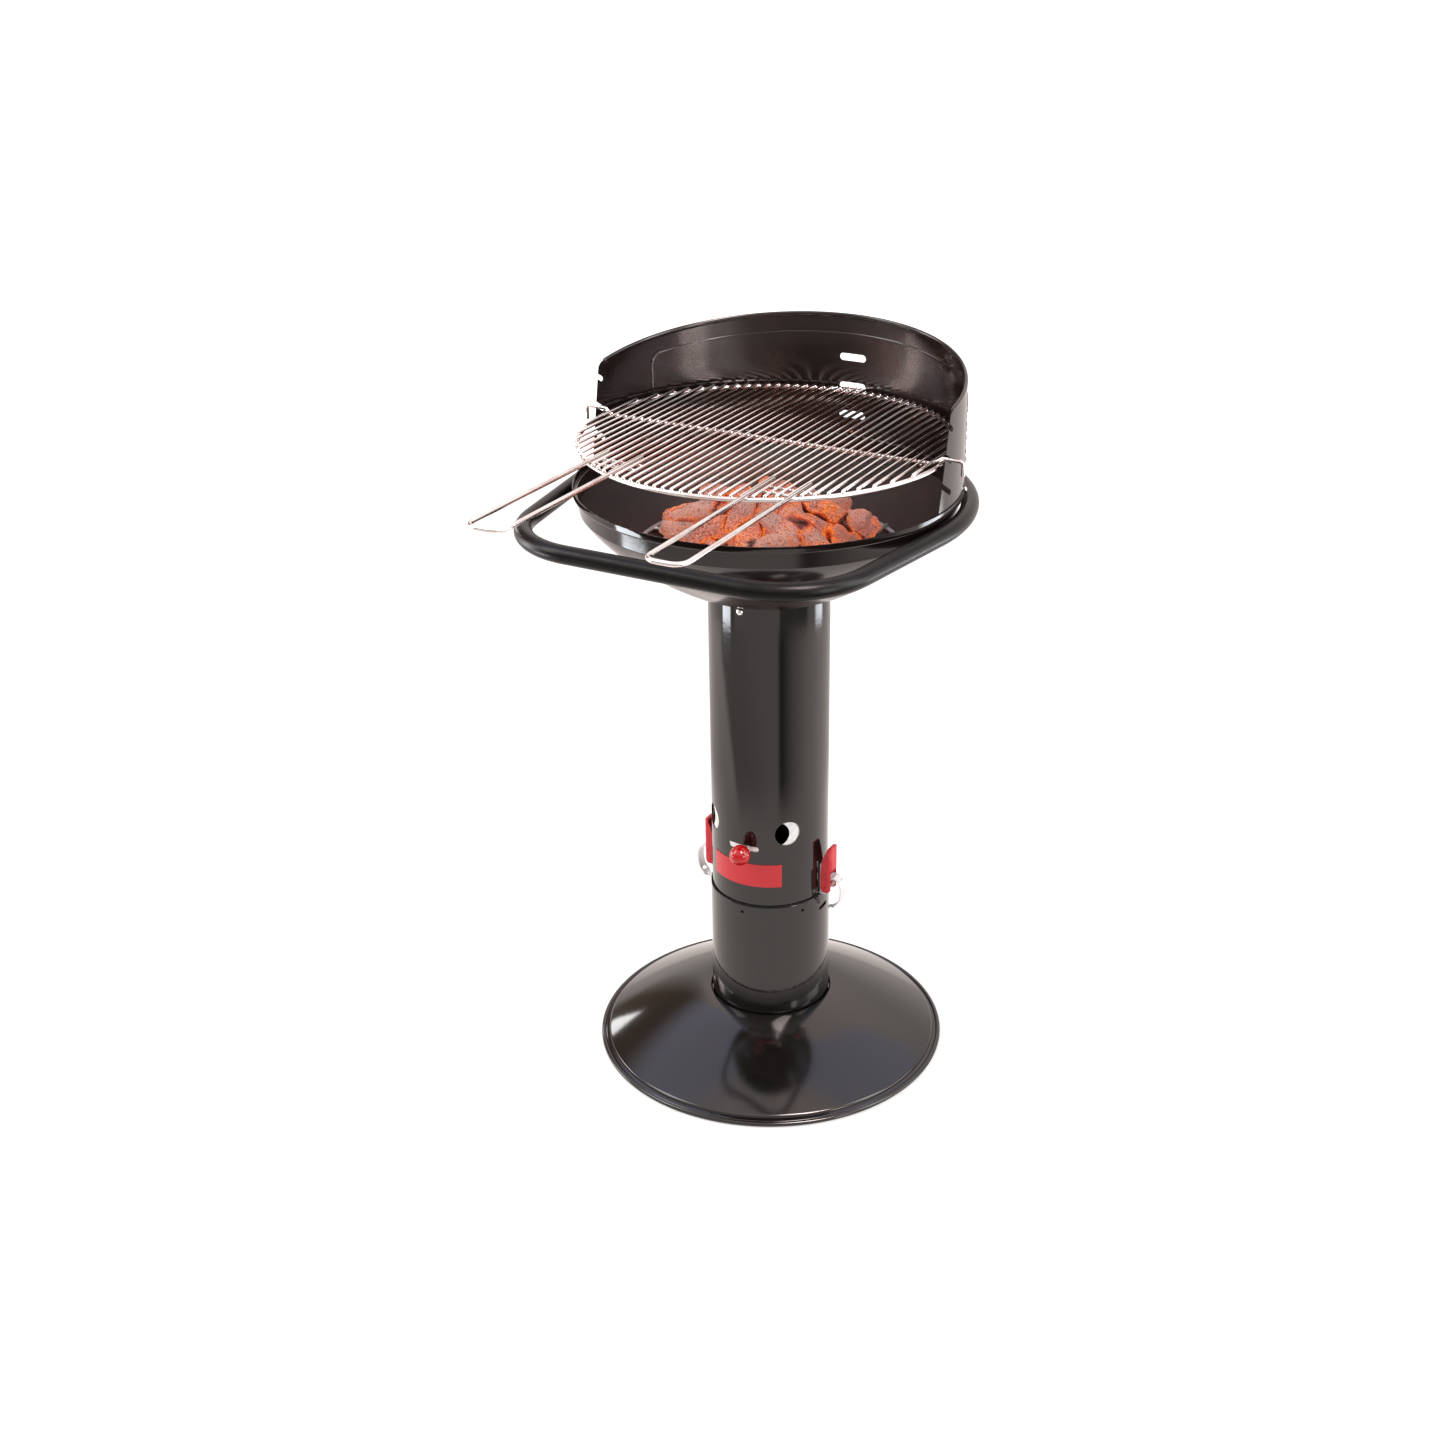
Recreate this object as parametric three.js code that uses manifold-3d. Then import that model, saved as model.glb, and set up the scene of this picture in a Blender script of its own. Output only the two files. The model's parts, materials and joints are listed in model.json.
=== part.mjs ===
// Pedestal barbecue: a round base dish, an ash pot and a column with an air damper,
// a fire bowl with windscreen, a bent handle loop and a wire cooking grid.
// Millimetres, Z up, origin on the floor at the column axis, front towards -Y.
// Angles about the column are measured from the front, positive towards +X.

import * as THREE from 'three';
import { mergeVertices } from 'three/addons/utils/BufferGeometryUtils.js';
import Module from 'manifold-3d';

const wasm = await Module();
wasm.setup();

// Shared fits and facet counts
const clearance = 0.3;
const overrun = 20;
const dishSegments = 36;
const tubeSegments = 40;
const wireSides = 6;
const barSides = 5;
const pinSides = 10;
const holeSides = 12;
const lumpSides = [7, 5];
const screwSides = 6;
const bendSteps = 3;

// Overall heights from the floor, the depth of the bowl and the rise of the screen over its rim
const jointHeight = 244;
const rimHeight = 825;
const bowlDepth = 145.3;
const screenBackRise = 157.8;

// Base dish
const baseRadius = 243.5;
const baseSheet = 1.6;
const baseRimWidth = 7.5;
const baseRimHeight = 6;
const baseDomeHeight = 73.5;
const baseDomeRise = 1.35;
const baseCollarDepth = 26;
const baseShoulder = 2.6;
const domeSteps = 4;

// Ash pot, the lower tube
const potRadius = 82.2;
const potSheet = 1.2;
const potSocketGap = 0.6;
const potHoleRadius = 2.2;
const potHoleDrop = 11;
const potHoleCount = 6;
const clawSlitWidth = 17;
const clawSlitHeight = 6;
const clawSlitDrop = 21.5;
const stopRingWidth = 6.5;
const stopRingHeight = 3.5;
const columnPlugDepth = 28.7;

// Column, the upper tube
const columnRadius = 80;
const columnSheet = 1.2;
const airHoleRadius = 17.6;
const airHoleRise = 111;
const airHoleAngle = 45;
const airHoleCount = 4;
const damperSlotAngle = 16.5;
const damperSlotHeight = 8.4;
const damperSlotDrop = 23.5;

// Air damper
const damperSheet = 1;
const damperAbove = 25;
const damperBelow = 35;
const damperShift = 15;
const damperRest = 4;
const damperSplit = 12;
const damperScrewRadius = 3.4;
const damperScrewHead = 2;
const knobRadius = 14;
const knobStandOff = 20;
const knobBoreDepth = 8;

// Fire bowl
const bowlSheet = 1.4;
const bowlCollarDepth = 25;
const bowlLedge = 6.6;
const bowlWallTaper = 1.5;
const bowlWallHeight = 21;
const bowlRimStep = 9;
const bowlRimRadius = 248.1;
const bowlSteps = 5;
const bowlThroatSlopeShares = [0.34, 0.12];
const bowlSideSlopeShares = [0.825, 0.63];

// Windscreen
const screenSheet = 1;
const screenTilt = 0.14;
const screenEarY = -3.8;
const screenEarDrop = 7;
const screenEdgeLean = 0.2068;
const screenRollHeight = 6.6;
const screenRollDepth = 4.6;
const screenRollEnd = 88;
const notchAngle = 31.5;
const notchWidth = 6.6;
const notchInnerY = 2.8;
const notchLevels = 3;
const notchPitch = 39.5;
const notchMiddleRise = 58.5;
const tongueSlotWidth = 38.5;
const tongueSlotHeight = 10;
const tongueSlotPlay = 2.4;
const screenRollSteps = 11;

// Handle loop
const handleTube = 11.5;
const handleDrop = 24;
const handleForward = 46.4;
const handleInset = 20.1;
const handleCorner = 112;
const handleSides = 8;
const handleSteps = 5;
const handleButtGap = 1;
const handleStandOff = 1.2;

// Cooking grid
const gridPlay = 8.6;
const gridRingWire = 3;
const gridHang = 8;
const gridBarPitch = 12;
const gridBarWire = 2.1;
const gridWeld = 0.4;
const crossWire = 2.5;
const crossBendRun = 12;
const crossBendInset = 2;
const hookPast = 19.1;
const hookLeg = 17;
const hookBend = 5;
const tongueTipWidth = 24;
const tongueRootWidth = 52;
const tongueWire = 2.2;
const tongueRise = 1.6;
const tonguePast = 2.4;
const tongueRoot = 6;

// Grid handles
const gripWire = 3;
const gripBarSteps = 9.5;
const gripGapBars = 2;
const gripForward = 219.2;
const gripOverlap = 78.8;
const gripCorner = 18;
const gripTieWire = 2;
const gripTieInsets = [16, 34];
const gripTieOverhang = 9;

// Charcoal grate and coals
const grateRadius = 171;
const grateRingWire = 3;
const grateBarWire = 2.5;
const grateBarPitch = 26;
const grateBarsEachSide = 5;
const coalHeapRadius = 150;
const coalLength = 66;
const coalWidth = 42;
const coalHeight = 30;
const coalDentShare = 0.06;
const lowerCoals = 14;
const upperCoals = 8;
const lowerLayerShare = 0.4;
const upperLayerShare = 0.86;
const upperSpreadShare = 0.85;
const goldenAngle = 137.5;

// Toggle latches
const latchPivotOut = 10.5;
const latchPivotRise = 13;
const leverWidth = 22;
const leverWall = 2;
const leverDepth = 16;
const leverLength = 61.5;
const leverFoot = 7.7;
const leverWindowShare = 0.43;
const leverPinRadius = 2;
const leverPinHead = 1.2;
const bracketSheet = 2;
const bracketWidth = 20;
const bracketHeight = 44;
const bracketDrop = 10;
const bracketEar = 5.5;
const bracketEarInset = 2.5;
const clawPivotOut = 14;
const clawPivotRise = 14;
const clawSheet = 2;
const clawWidth = 15;
const clawTongueWidth = 8;
const clawEye = 3.6;
const clawPinRadius = 1.7;
const clawReach = 46.5;

// Fasteners
const boltRadius = 2.5;
const boltHead = 4.7;
const boltHeadHeight = 3.2;
const boltInset = 3.5;
const bowlScrewDrop = 7.3;
const bowlScrewCount = 3;
const screenScrewRise = 4.6;
const screenScrewHead = 3.4;
const screenScrewHeadHeight = 2.4;
const screenScrewAngles = [110, 180, 250];
const handleScrewAngles = [95, 150, 210, 265];
const handleScrewHead = 4;
const handleScrewDepth = 9;
const baseScrewCount = 3;
const baseScrewRise = 9;

// Derived radii and levels that several pieces share
const columnTop = rimHeight - bowlDepth;
const screenBackHeight = rimHeight + screenBackRise;
const notchMiddleHeight = rimHeight + notchMiddleRise;
const handleHeight = rimHeight - handleDrop;
const airHoleHeight = jointHeight + airHoleRise;
const damperSlotLevel = airHoleHeight - damperSlotDrop;
const damperTop = airHoleHeight + damperAbove;
const damperBottom = airHoleHeight - damperBelow;
const potInner = potRadius - potSheet;
const columnInner = columnRadius - columnSheet;
const columnBottom = jointHeight - columnPlugDepth;
const baseSocketRadius = potRadius + potSocketGap + baseSheet / 2;
const baseScrewLevel = baseDomeHeight - baseCollarDepth + baseScrewRise;
const clawSlitHeightAt = jointHeight - clawSlitDrop;
const damperRadius = columnInner - clearance;
const bowlShelfHeight = rimHeight - bowlRimStep;
const bowlCreaseHeight = bowlShelfHeight - bowlWallHeight;
const bowlWallRadius = bowlRimRadius - bowlLedge;
const bowlCreaseRadius = bowlWallRadius - bowlWallTaper;
const bowlCollarRadius = columnInner - clearance - bowlSheet / 2;
const bowlSeatHeight = columnTop + clearance + bowlSheet / 2;
const screenRadius = bowlRimRadius - bowlSheet - clearance;
const screenBottom = bowlShelfHeight + bowlSheet / 2 + clearance;
const handleRadius = bowlWallRadius + bowlSheet / 2 + handleTube + handleStandOff;
const handleFront = bowlRimRadius + handleForward;
const handleHalfWidth = bowlRimRadius - handleInset;
const gridRadius = screenRadius - screenSheet - gridPlay;
const gridBarsEachSide = Math.floor((gridRadius - gridRingWire) / gridBarPitch);
const crossBendStart = gridBarPitch * gridBarsEachSide - crossBendInset;
const crossBendEnd = crossBendStart + crossBendRun;
const hookReach = screenRadius + hookPast;
const gripTipReach = gridRadius + gripForward;
const gripRootReach = gridRadius - gripOverlap;
const slant = THREE.MathUtils.degToRad(notchAngle);

// Finishes
const blackEnamel = { color: 0x1a1716, roughness: 0.12, metalness: 0.0 };
const blackSatin = { color: 0x1e1e1d, roughness: 0.45, metalness: 0.0 };
const chromed = { color: 0xd8d4d0, roughness: 0.16, metalness: 1.0 };
const galvanised = { color: 0xb9bab8, roughness: 0.38, metalness: 1.0 };
const redPlastic = { color: 0xb5202a, roughness: 0.35, metalness: 0.0 };
const redKnob = { color: 0xd81f1c, roughness: 0.1, metalness: 0.0 };
const hotCoal = { color: 0xb5512f, roughness: 0.9, metalness: 0.0 };

function radians(degrees) {
  return THREE.MathUtils.degToRad(degrees);
}

// A closed solid from a geometry, with its shared corners welded together
function solidOf(geometry) {
  const bare = geometry.clone();
  bare.deleteAttribute('normal');
  bare.deleteAttribute('uv');
  const welded = mergeVertices(bare);
  const corners = welded.index ? Array.from(welded.index.array) : [];
  const faces = [];
  for (let i = 0; i < corners.length; i += 3) {
    const [a, b, c] = corners.slice(i, i + 3);
    if (a !== b && b !== c && c !== a) faces.push(a, b, c);
  }
  const vertProperties = new Float32Array(welded.attributes.position.array);
  const triVerts = new Uint32Array(faces);
  return new wasm.Manifold(new wasm.Mesh({ numProp: 3, vertProperties, triVerts }));
}

function geometryOf(solid) {
  const mesh = solid.getMesh();
  const geometry = new THREE.BufferGeometry();
  const corners = [];
  for (let i = 0; i < mesh.numVert; i += 1) {
    const at = i * mesh.numProp;
    corners.push(mesh.vertProperties[at], mesh.vertProperties[at + 1], mesh.vertProperties[at + 2]);
  }
  geometry.setAttribute('position', new THREE.Float32BufferAttribute(corners, 3));
  geometry.setIndex(Array.from(mesh.triVerts));
  return geometry;
}

function cutAll(geometry, tools) {
  return geometryOf(tools.reduce((body, tool) => body.subtract(solidOf(tool)), solidOf(geometry)));
}

function joinAll(pieces) {
  return geometryOf(pieces.map(solidOf).reduce((body, piece) => body.add(piece)));
}

function named(name, geometry, finish) {
  const mesh = new THREE.Mesh(geometry, new THREE.MeshStandardMaterial(finish));
  mesh.name = name;
  return mesh;
}

// A body of revolution about Z from a closed outline of [radius, height] pairs
function revolve(outline, segments) {
  const points = outline.map(([radius, height]) => new THREE.Vector2(radius, height));
  if (points[0].x > 0 || points[points.length - 1].x > 0) points.push(points[0].clone());
  return new THREE.LatheGeometry(points, segments).rotateX(Math.PI / 2);
}

// The outline of a sheet that runs along a path of [radius, height] pairs
function sheetOutline(path, thickness) {
  const half = thickness / 2;
  const sides = [[], []];
  path.forEach(([x, y], i) => {
    const before = path[Math.max(i - 1, 0)];
    const after = path[Math.min(i + 1, path.length - 1)];
    const enter = new THREE.Vector2(x - before[0], y - before[1]).normalize();
    const leave = new THREE.Vector2(after[0] - x, after[1] - y).normalize();
    if (i === 0) enter.copy(leave);
    if (i === path.length - 1) leave.copy(enter);
    const along = enter.clone().add(leave).normalize();
    const reach = half / Math.max(along.dot(leave), 0.5);
    sides[0].push([x + along.y * reach, y - along.x * reach]);
    sides[1].unshift([x - along.y * reach, y + along.x * reach]);
  });
  return [...sides[0], ...sides[1]];
}

// A plate with a side outline in X and Z, centred across Y
function plateAcross(shape, width) {
  const body = new THREE.ExtrudeGeometry(shape, { depth: width, bevelEnabled: false, curveSegments: 8 });
  return body.rotateX(Math.PI / 2).translate(0, width / 2, 0);
}

function shapeOf(points) {
  return new THREE.Shape(points.map(([x, y]) => new THREE.Vector2(x, y)));
}

function roundShape(radius) {
  return new THREE.Shape().absarc(0, 0, radius, 0, 2 * Math.PI);
}

// A bent piece's centre line, given by its stations: straight runs need one at each end only
class Stations extends THREE.Curve {
  constructor(points) {
    super();
    this.points = points;
  }

  getPointAt(share) {
    return this.points[Math.round(share * (this.points.length - 1))].clone();
  }

  getTangentAt(share) {
    const last = this.points.length - 1;
    const at = Math.round(share * last);
    const here = this.points[at];
    const leave = this.points[Math.min(at + 1, last)].clone().sub(here).normalize();
    const enter = here.clone().sub(this.points[Math.max(at - 1, 0)]).normalize();
    return enter.add(leave).normalize();
  }
}

// A wire or tube bent along a flat path that a function lays out in space
function bent(path, place, section, bendSteps, sides) {
  const shape = new THREE.Shape();
  for (let i = 0; i < sides; i += 1) {
    const turn = 2 * Math.PI * (i + 0.5) / sides;
    const at = [section[0] * Math.cos(turn), section[1] * Math.sin(turn)];
    if (i === 0) shape.moveTo(...at);
    else shape.lineTo(...at);
  }
  shape.closePath();
  const stations = path.getPoints(bendSteps).map((at) => place(at.x, at.y));
  const extrudePath = new Stations(stations);
  const steps = stations.length - 1;
  return new THREE.ExtrudeGeometry(shape, { steps, extrudePath, bevelEnabled: false });
}

// A flat path through corners that are rounded by one bend radius
function roundedPath(corners, bend) {
  const path = new THREE.Path();
  path.moveTo(...corners[0]);
  for (let i = 1; i < corners.length - 1; i += 1) {
    const corner = new THREE.Vector2(...corners[i]);
    const back = new THREE.Vector2(...corners[i - 1]).sub(corner).normalize();
    const ahead = new THREE.Vector2(...corners[i + 1]).sub(corner).normalize();
    const half = Math.acos(back.dot(ahead)) / 2;
    const run = bend / Math.tan(half);
    const enter = corner.clone().addScaledVector(back, run);
    const leave = corner.clone().addScaledVector(ahead, run);
    path.lineTo(enter.x, enter.y);
    path.quadraticCurveTo(corner.x, corner.y, leave.x, leave.y);
  }
  path.lineTo(...corners[corners.length - 1]);
  return path;
}

// A straight round bar between two points
function bar(from, to, radius, sides) {
  const start = new THREE.Vector3(...from);
  const run = new THREE.Vector3(...to).sub(start);
  const body = new THREE.CylinderGeometry(radius, radius, run.length(), sides);
  const along = new THREE.Vector3(0, 1, 0);
  const turn = new THREE.Quaternion().setFromUnitVectors(along, run.clone().normalize());
  return body.applyQuaternion(turn).translate(...start.addScaledVector(run, 0.5).toArray());
}

// A radial bar at an angle about the column
function radialBar(angle, height, inner, outer, radius, sides) {
  const body = bar([0, -inner, 0], [0, -outer, 0], radius, sides);
  return body.rotateZ(radians(angle)).translate(0, 0, height);
}

function ring(radius, wire, sides, segments) {
  const outline = [];
  for (let i = 0; i < sides; i += 1) {
    const turn = 2 * Math.PI * (i + 0.5) / sides;
    outline.push([radius + wire * Math.cos(turn), wire * Math.sin(turn)]);
  }
  return revolve(outline, segments);
}

// A round-headed screw on a radius, with its shank pointing at the axis
function radialScrew(angle, height, seat, tip, shank, head, headHeight) {
  const outline = [[0, -tip], [shank, -tip], [shank, 0], [head, 0]];
  const dome = 2;
  for (let i = 1; i < dome; i += 1) {
    const turn = Math.PI / 2 * i / dome;
    outline.push([head * Math.cos(turn), headHeight * Math.sin(turn)]);
  }
  outline.push([0, headHeight]);
  const screw = revolve(outline, screwSides).rotateX(Math.PI / 2).translate(0, -seat, height);
  return screw.rotateZ(radians(angle));
}

// A low-headed screw on a radius, with its head on the inside and its tip further out
function inwardScrew(angle, height, seat, tip) {
  const screw = revolve([
    [0, seat - tip],
    [boltRadius, seat - tip],
    [boltRadius, 0],
    [handleScrewHead, 0],
    [handleScrewHead / 2, boltHeadHeight / 2],
    [0, boltHeadHeight / 2],
  ], screwSides).rotateX(-Math.PI / 2);
  return screw.translate(0, -seat, height).rotateZ(radians(angle));
}

function baseDish() {
  const half = baseSheet / 2;
  const edge = baseRadius - half;
  const domeStart = baseRadius - baseRimWidth + half;
  const domeEnd = baseSocketRadius + baseShoulder;
  const path = [
    [baseRadius - baseRimWidth, half],
    [edge, half],
    [edge, baseRimHeight - half],
    [domeStart + half, baseRimHeight + half],
  ];
  for (let i = 1; i <= domeSteps; i += 1) {
    const share = i / domeSteps;
    const rise = 1 - (1 - share) ** baseDomeRise;
    const start = baseRimHeight + half;
    path.push([domeStart + (domeEnd - domeStart) * share, start + (baseDomeHeight - half - start) * rise]);
  }
  path.push([baseSocketRadius, baseDomeHeight - half - baseShoulder]);
  path.push([baseSocketRadius, baseDomeHeight - baseCollarDepth]);
  return cutAll(revolve(sheetOutline(path, baseSheet), dishSegments), baseScrewHoles());
}

function baseScrewHoles() {
  const tools = [];
  for (let i = 0; i < baseScrewCount; i += 1) {
    const angle = 360 * i / baseScrewCount;
    const reach = [potRadius - overrun, potRadius + overrun];
    tools.push(radialBar(angle, baseScrewLevel, ...reach, boltRadius + clearance, screwSides));
  }
  return tools;
}

// Driven outwards from inside the pot, through its wall and the collar of the dish
function baseScrew(index) {
  const inside = potInner * Math.cos(Math.PI / tubeSegments);
  const seat = inside - clearance;
  const tip = baseSocketRadius + boltInset;
  return inwardScrew(360 * index / baseScrewCount, baseScrewLevel, seat, tip);
}

function ashPot() {
  const wall = potRadius - potSheet / 2;
  const body = revolve([
    [0, 0],
    [potRadius, 0],
    [potRadius, jointHeight],
    [potInner, jointHeight],
    [potInner, potSheet],
    [0, potSheet],
  ], tubeSegments);
  const tools = baseScrewHoles();
  for (let i = 0; i < potHoleCount; i += 1) {
    const height = jointHeight - potHoleDrop;
    const reach = [wall - overrun, wall + overrun];
    tools.push(radialBar(360 * i / potHoleCount, height, ...reach, potHoleRadius, screwSides));
  }
  const slit = new THREE.BoxGeometry(2 * (wall + overrun), clawSlitWidth, clawSlitHeight);
  tools.push(slit.translate(0, 0, clawSlitHeightAt));
  return cutAll(body, tools);
}

function stopRing() {
  const outer = potInner - clearance;
  const top = columnBottom - clearance;
  const outline = [
    [outer - stopRingWidth, top - stopRingHeight],
    [outer, top - stopRingHeight],
    [outer, top],
    [outer - stopRingWidth, top],
  ];
  return revolve(outline, tubeSegments);
}

// A long hole with round ends, bent round the column by cutting along its radius
function curvedSlot(halfAngle, height, level) {
  const end = radians(halfAngle) * columnRadius - height / 2;
  const reach = [columnRadius - overrun, columnRadius + overrun];
  const tools = [];
  const turn = THREE.MathUtils.radToDeg(end / columnRadius);
  [-turn, turn].forEach((angle) => {
    tools.push(radialBar(angle, level, ...reach, height / 2, holeSides));
  });
  const half = columnRadius * Math.sin(end / columnRadius);
  const box = new THREE.BoxGeometry(2 * half, 2 * overrun, height);
  tools.push(box.translate(0, -columnRadius, level));
  return tools;
}

function columnTube() {
  const outline = [
    [columnInner, columnBottom],
    [columnRadius, columnBottom],
    [columnRadius, columnTop],
    [columnInner, columnTop],
  ];
  const tools = curvedSlot(damperSlotAngle, damperSlotHeight, damperSlotLevel);
  const inner = columnRadius - overrun;
  const outer = columnRadius + overrun;
  for (let i = 0; i < airHoleCount; i += 1) {
    const angle = airHoleAngle + 360 * i / airHoleCount;
    tools.push(radialBar(angle, airHoleHeight, inner, outer, airHoleRadius, holeSides));
  }
  for (let i = 0; i < bowlScrewCount; i += 1) {
    const angle = 360 * i / bowlScrewCount;
    const height = columnTop - bowlScrewDrop;
    tools.push(radialBar(angle, height, inner, outer, boltRadius + clearance, screwSides));
  }
  return cutAll(revolve(outline, tubeSegments), tools);
}

// The sprung damper ring and its knob, turned to the setting that the ring rests at
function damper() {
  const group = new THREE.Group();
  const inner = damperRadius - damperSheet;
  const body = revolve([
    [inner, damperBottom],
    [damperRadius, damperBottom],
    [damperRadius, damperTop],
    [inner, damperTop],
  ], tubeSegments);
  const reach = [inner - overrun, inner + overrun];
  const tools = [];
  for (let i = 0; i < airHoleCount; i += 1) {
    const angle = airHoleAngle - damperShift + 360 * i / airHoleCount;
    tools.push(radialBar(angle, airHoleHeight, ...reach, airHoleRadius, holeSides));
  }
  tools.push(radialBar(0, damperSlotLevel, ...reach, damperScrewRadius + clearance, pinSides));
  const split = new THREE.BoxGeometry(damperSplit, 2 * overrun, 2 * (damperTop - damperBottom));
  tools.push(split.translate(0, damperRadius, (damperTop + damperBottom) / 2));
  group.add(named('damper_ring', cutAll(body, tools), galvanised));
  const knobCentre = columnRadius + knobStandOff;
  const boreEnd = knobCentre - knobRadius + knobBoreDepth;
  const stemEnd = boreEnd - clearance;
  const boreRadius = damperScrewRadius + clearance;
  const head = 2 * damperScrewRadius;
  const seat = Math.sqrt(inner ** 2 - head ** 2) * Math.cos(Math.PI / tubeSegments) - clearance;
  const screw = joinAll([
    radialBar(0, damperSlotLevel, seat - damperScrewHead, seat, head, pinSides),
    radialBar(0, damperSlotLevel, seat - damperScrewHead / 2, stemEnd, damperScrewRadius, pinSides),
  ]);
  group.add(named('damper_screw', screw, galvanised));
  const ball = new THREE.SphereGeometry(knobRadius, 14, 9).translate(0, -knobCentre, damperSlotLevel);
  const bore = radialBar(0, damperSlotLevel, columnRadius, boreEnd, boreRadius, pinSides);
  group.add(named('damper_knob', cutAll(ball, [bore]), redKnob));
  group.rotation.z = radians(damperRest);
  return group;
}

// The bowl wall from the throat on the column to the crease below the rim band
function bowlCurve() {
  const throat = new THREE.Vector2(columnRadius, bowlSeatHeight);
  const crease = new THREE.Vector2(bowlCreaseRadius, bowlCreaseHeight);
  const span = crease.clone().sub(throat);
  const near = span.clone().multiply(new THREE.Vector2(...bowlThroatSlopeShares)).add(throat);
  const far = span.clone().multiply(new THREE.Vector2(...bowlSideSlopeShares)).add(throat);
  return new THREE.CubicBezierCurve(throat, near, far, crease);
}

function fireBowl() {
  const collarBottom = bowlSeatHeight - bowlCollarDepth;
  const path = [[bowlCollarRadius, collarBottom], [bowlCollarRadius, bowlSeatHeight]];
  bowlCurve().getSpacedPoints(bowlSteps).slice(1).forEach((at) => path.push([at.x, at.y]));
  const rim = bowlRimRadius - bowlSheet / 2;
  path.push([bowlWallRadius, bowlShelfHeight]);
  path.push([rim, bowlShelfHeight]);
  path.push([rim, rimHeight]);
  const tools = [];
  for (let i = 0; i < bowlScrewCount; i += 1) {
    const height = columnTop - bowlScrewDrop;
    const reach = [bowlCollarRadius - overrun, bowlCollarRadius + overrun];
    tools.push(radialBar(360 * i / bowlScrewCount, height, ...reach, boltRadius + clearance, screwSides));
  }
  screenScrewAngles.forEach((angle) => {
    const height = screenBottom + screenScrewRise;
    const reach = [rim - boltHead, rim + overrun];
    tools.push(radialBar(angle, height, ...reach, boltRadius + clearance, screwSides));
  });
  handleScrewAngles.forEach((angle) => {
    const reach = [bowlWallRadius - overrun, bowlWallRadius + overrun];
    tools.push(radialBar(angle, handleHeight, ...reach, boltRadius + clearance, screwSides));
  });
  return cutAll(revolve(sheetOutline(path, bowlSheet), dishSegments), tools);
}

function screenTop(y) {
  return screenBackHeight + screenTilt * (y - screenRadius);
}

// Where the grid wire lies in a slanted notch, measured along the notch from its inner end
const wireInNotch = 8.6;
const wireY = notchInnerY - wireInNotch * Math.cos(slant);
const wireLift = clearance - (notchWidth / 2 - crossWire);
const wireZ = notchMiddleHeight + wireInNotch * Math.sin(slant) + wireLift / Math.cos(slant);
const gridCentreY = wireY;
const gridHeight = wireZ - gridHang;
const gridBarHeight = gridHeight + gridRingWire + gridBarWire - gridWeld;
const tongueSlotMiddle = gridHeight + tongueRise + tongueSlotPlay;

function windscreen() {
  const inner = screenRadius - screenSheet;
  const high = screenBackHeight + overrun;
  const wall = solidOf(revolve([
    [inner, screenBottom],
    [screenRadius, screenBottom],
    [screenRadius, high],
    [inner, high],
  ], dishSegments));
  const wide = 4 * screenRadius;
  const earTop = screenTop(screenEarY) - screenRollHeight / 2;
  const earBottom = earTop - screenEarDrop;
  const footY = screenEarY - (earBottom - screenBottom) * screenEdgeLean;
  const keep = new THREE.Shape();
  keep.moveTo(footY, screenBottom - overrun);
  keep.lineTo(2 * screenRadius, screenBottom - overrun);
  keep.lineTo(2 * screenRadius, screenTop(2 * screenRadius) - screenRollHeight / 2);
  keep.lineTo(screenEarY + screenEarDrop, screenTop(screenEarY + screenEarDrop) - screenRollHeight / 2);
  keep.quadraticCurveTo(screenEarY, earTop, screenEarY, earBottom);
  keep.lineTo(footY, screenBottom);
  const side = plateAcross(keep, wide).rotateZ(Math.PI / 2);
  let body = wall.intersect(solidOf(side));
  const middle = (notchLevels - 1) / 2;
  for (let i = 0; i < notchLevels; i += 1) {
    const level = notchMiddleHeight + (i - middle) * notchPitch;
    const slot = new THREE.Shape();
    slot.moveTo(-4 * overrun, -notchWidth / 2);
    slot.lineTo(0, -notchWidth / 2);
    slot.absarc(0, 0, notchWidth / 2, -Math.PI / 2, Math.PI / 2);
    slot.lineTo(-4 * overrun, notchWidth / 2);
    const tool = plateAcross(slot, wide).rotateY(slant).rotateZ(Math.PI / 2);
    body = body.subtract(solidOf(tool.translate(0, notchInnerY, level)));
  }
  for (let i = 0; i < notchLevels; i += 1) {
    const level = tongueSlotMiddle + (i - middle) * notchPitch;
    const half = tongueSlotWidth / 2 - tongueSlotHeight / 2;
    const slot = new THREE.Shape();
    slot.absarc(half, 0, tongueSlotHeight / 2, -Math.PI / 2, Math.PI / 2);
    slot.absarc(-half, 0, tongueSlotHeight / 2, Math.PI / 2, 3 * Math.PI / 2);
    const tool = plateAcross(slot, 2 * overrun).translate(0, screenRadius, level);
    body = body.subtract(solidOf(tool));
  }
  screenScrewAngles.forEach((angle) => {
    const height = screenBottom + screenScrewRise;
    const reach = [inner - overrun, inner + overrun];
    body = body.subtract(solidOf(radialBar(angle, height, ...reach, boltRadius + clearance, screwSides)));
  });
  const roll = new THREE.Path();
  const rollRadius = screenRadius - screenRollDepth / 2;
  const start = radians(90 - screenRollEnd);
  roll.absarc(0, 0, rollRadius, start, Math.PI - start);
  const place = (x, y) => new THREE.Vector3(x, y, screenTop(y) - screenRollHeight / 2);
  const section = [screenRollHeight / 2, screenRollDepth / 2];
  body = body.add(solidOf(bent(roll, place, section, screenRollSteps, wireSides)));
  return geometryOf(body);
}

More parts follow.
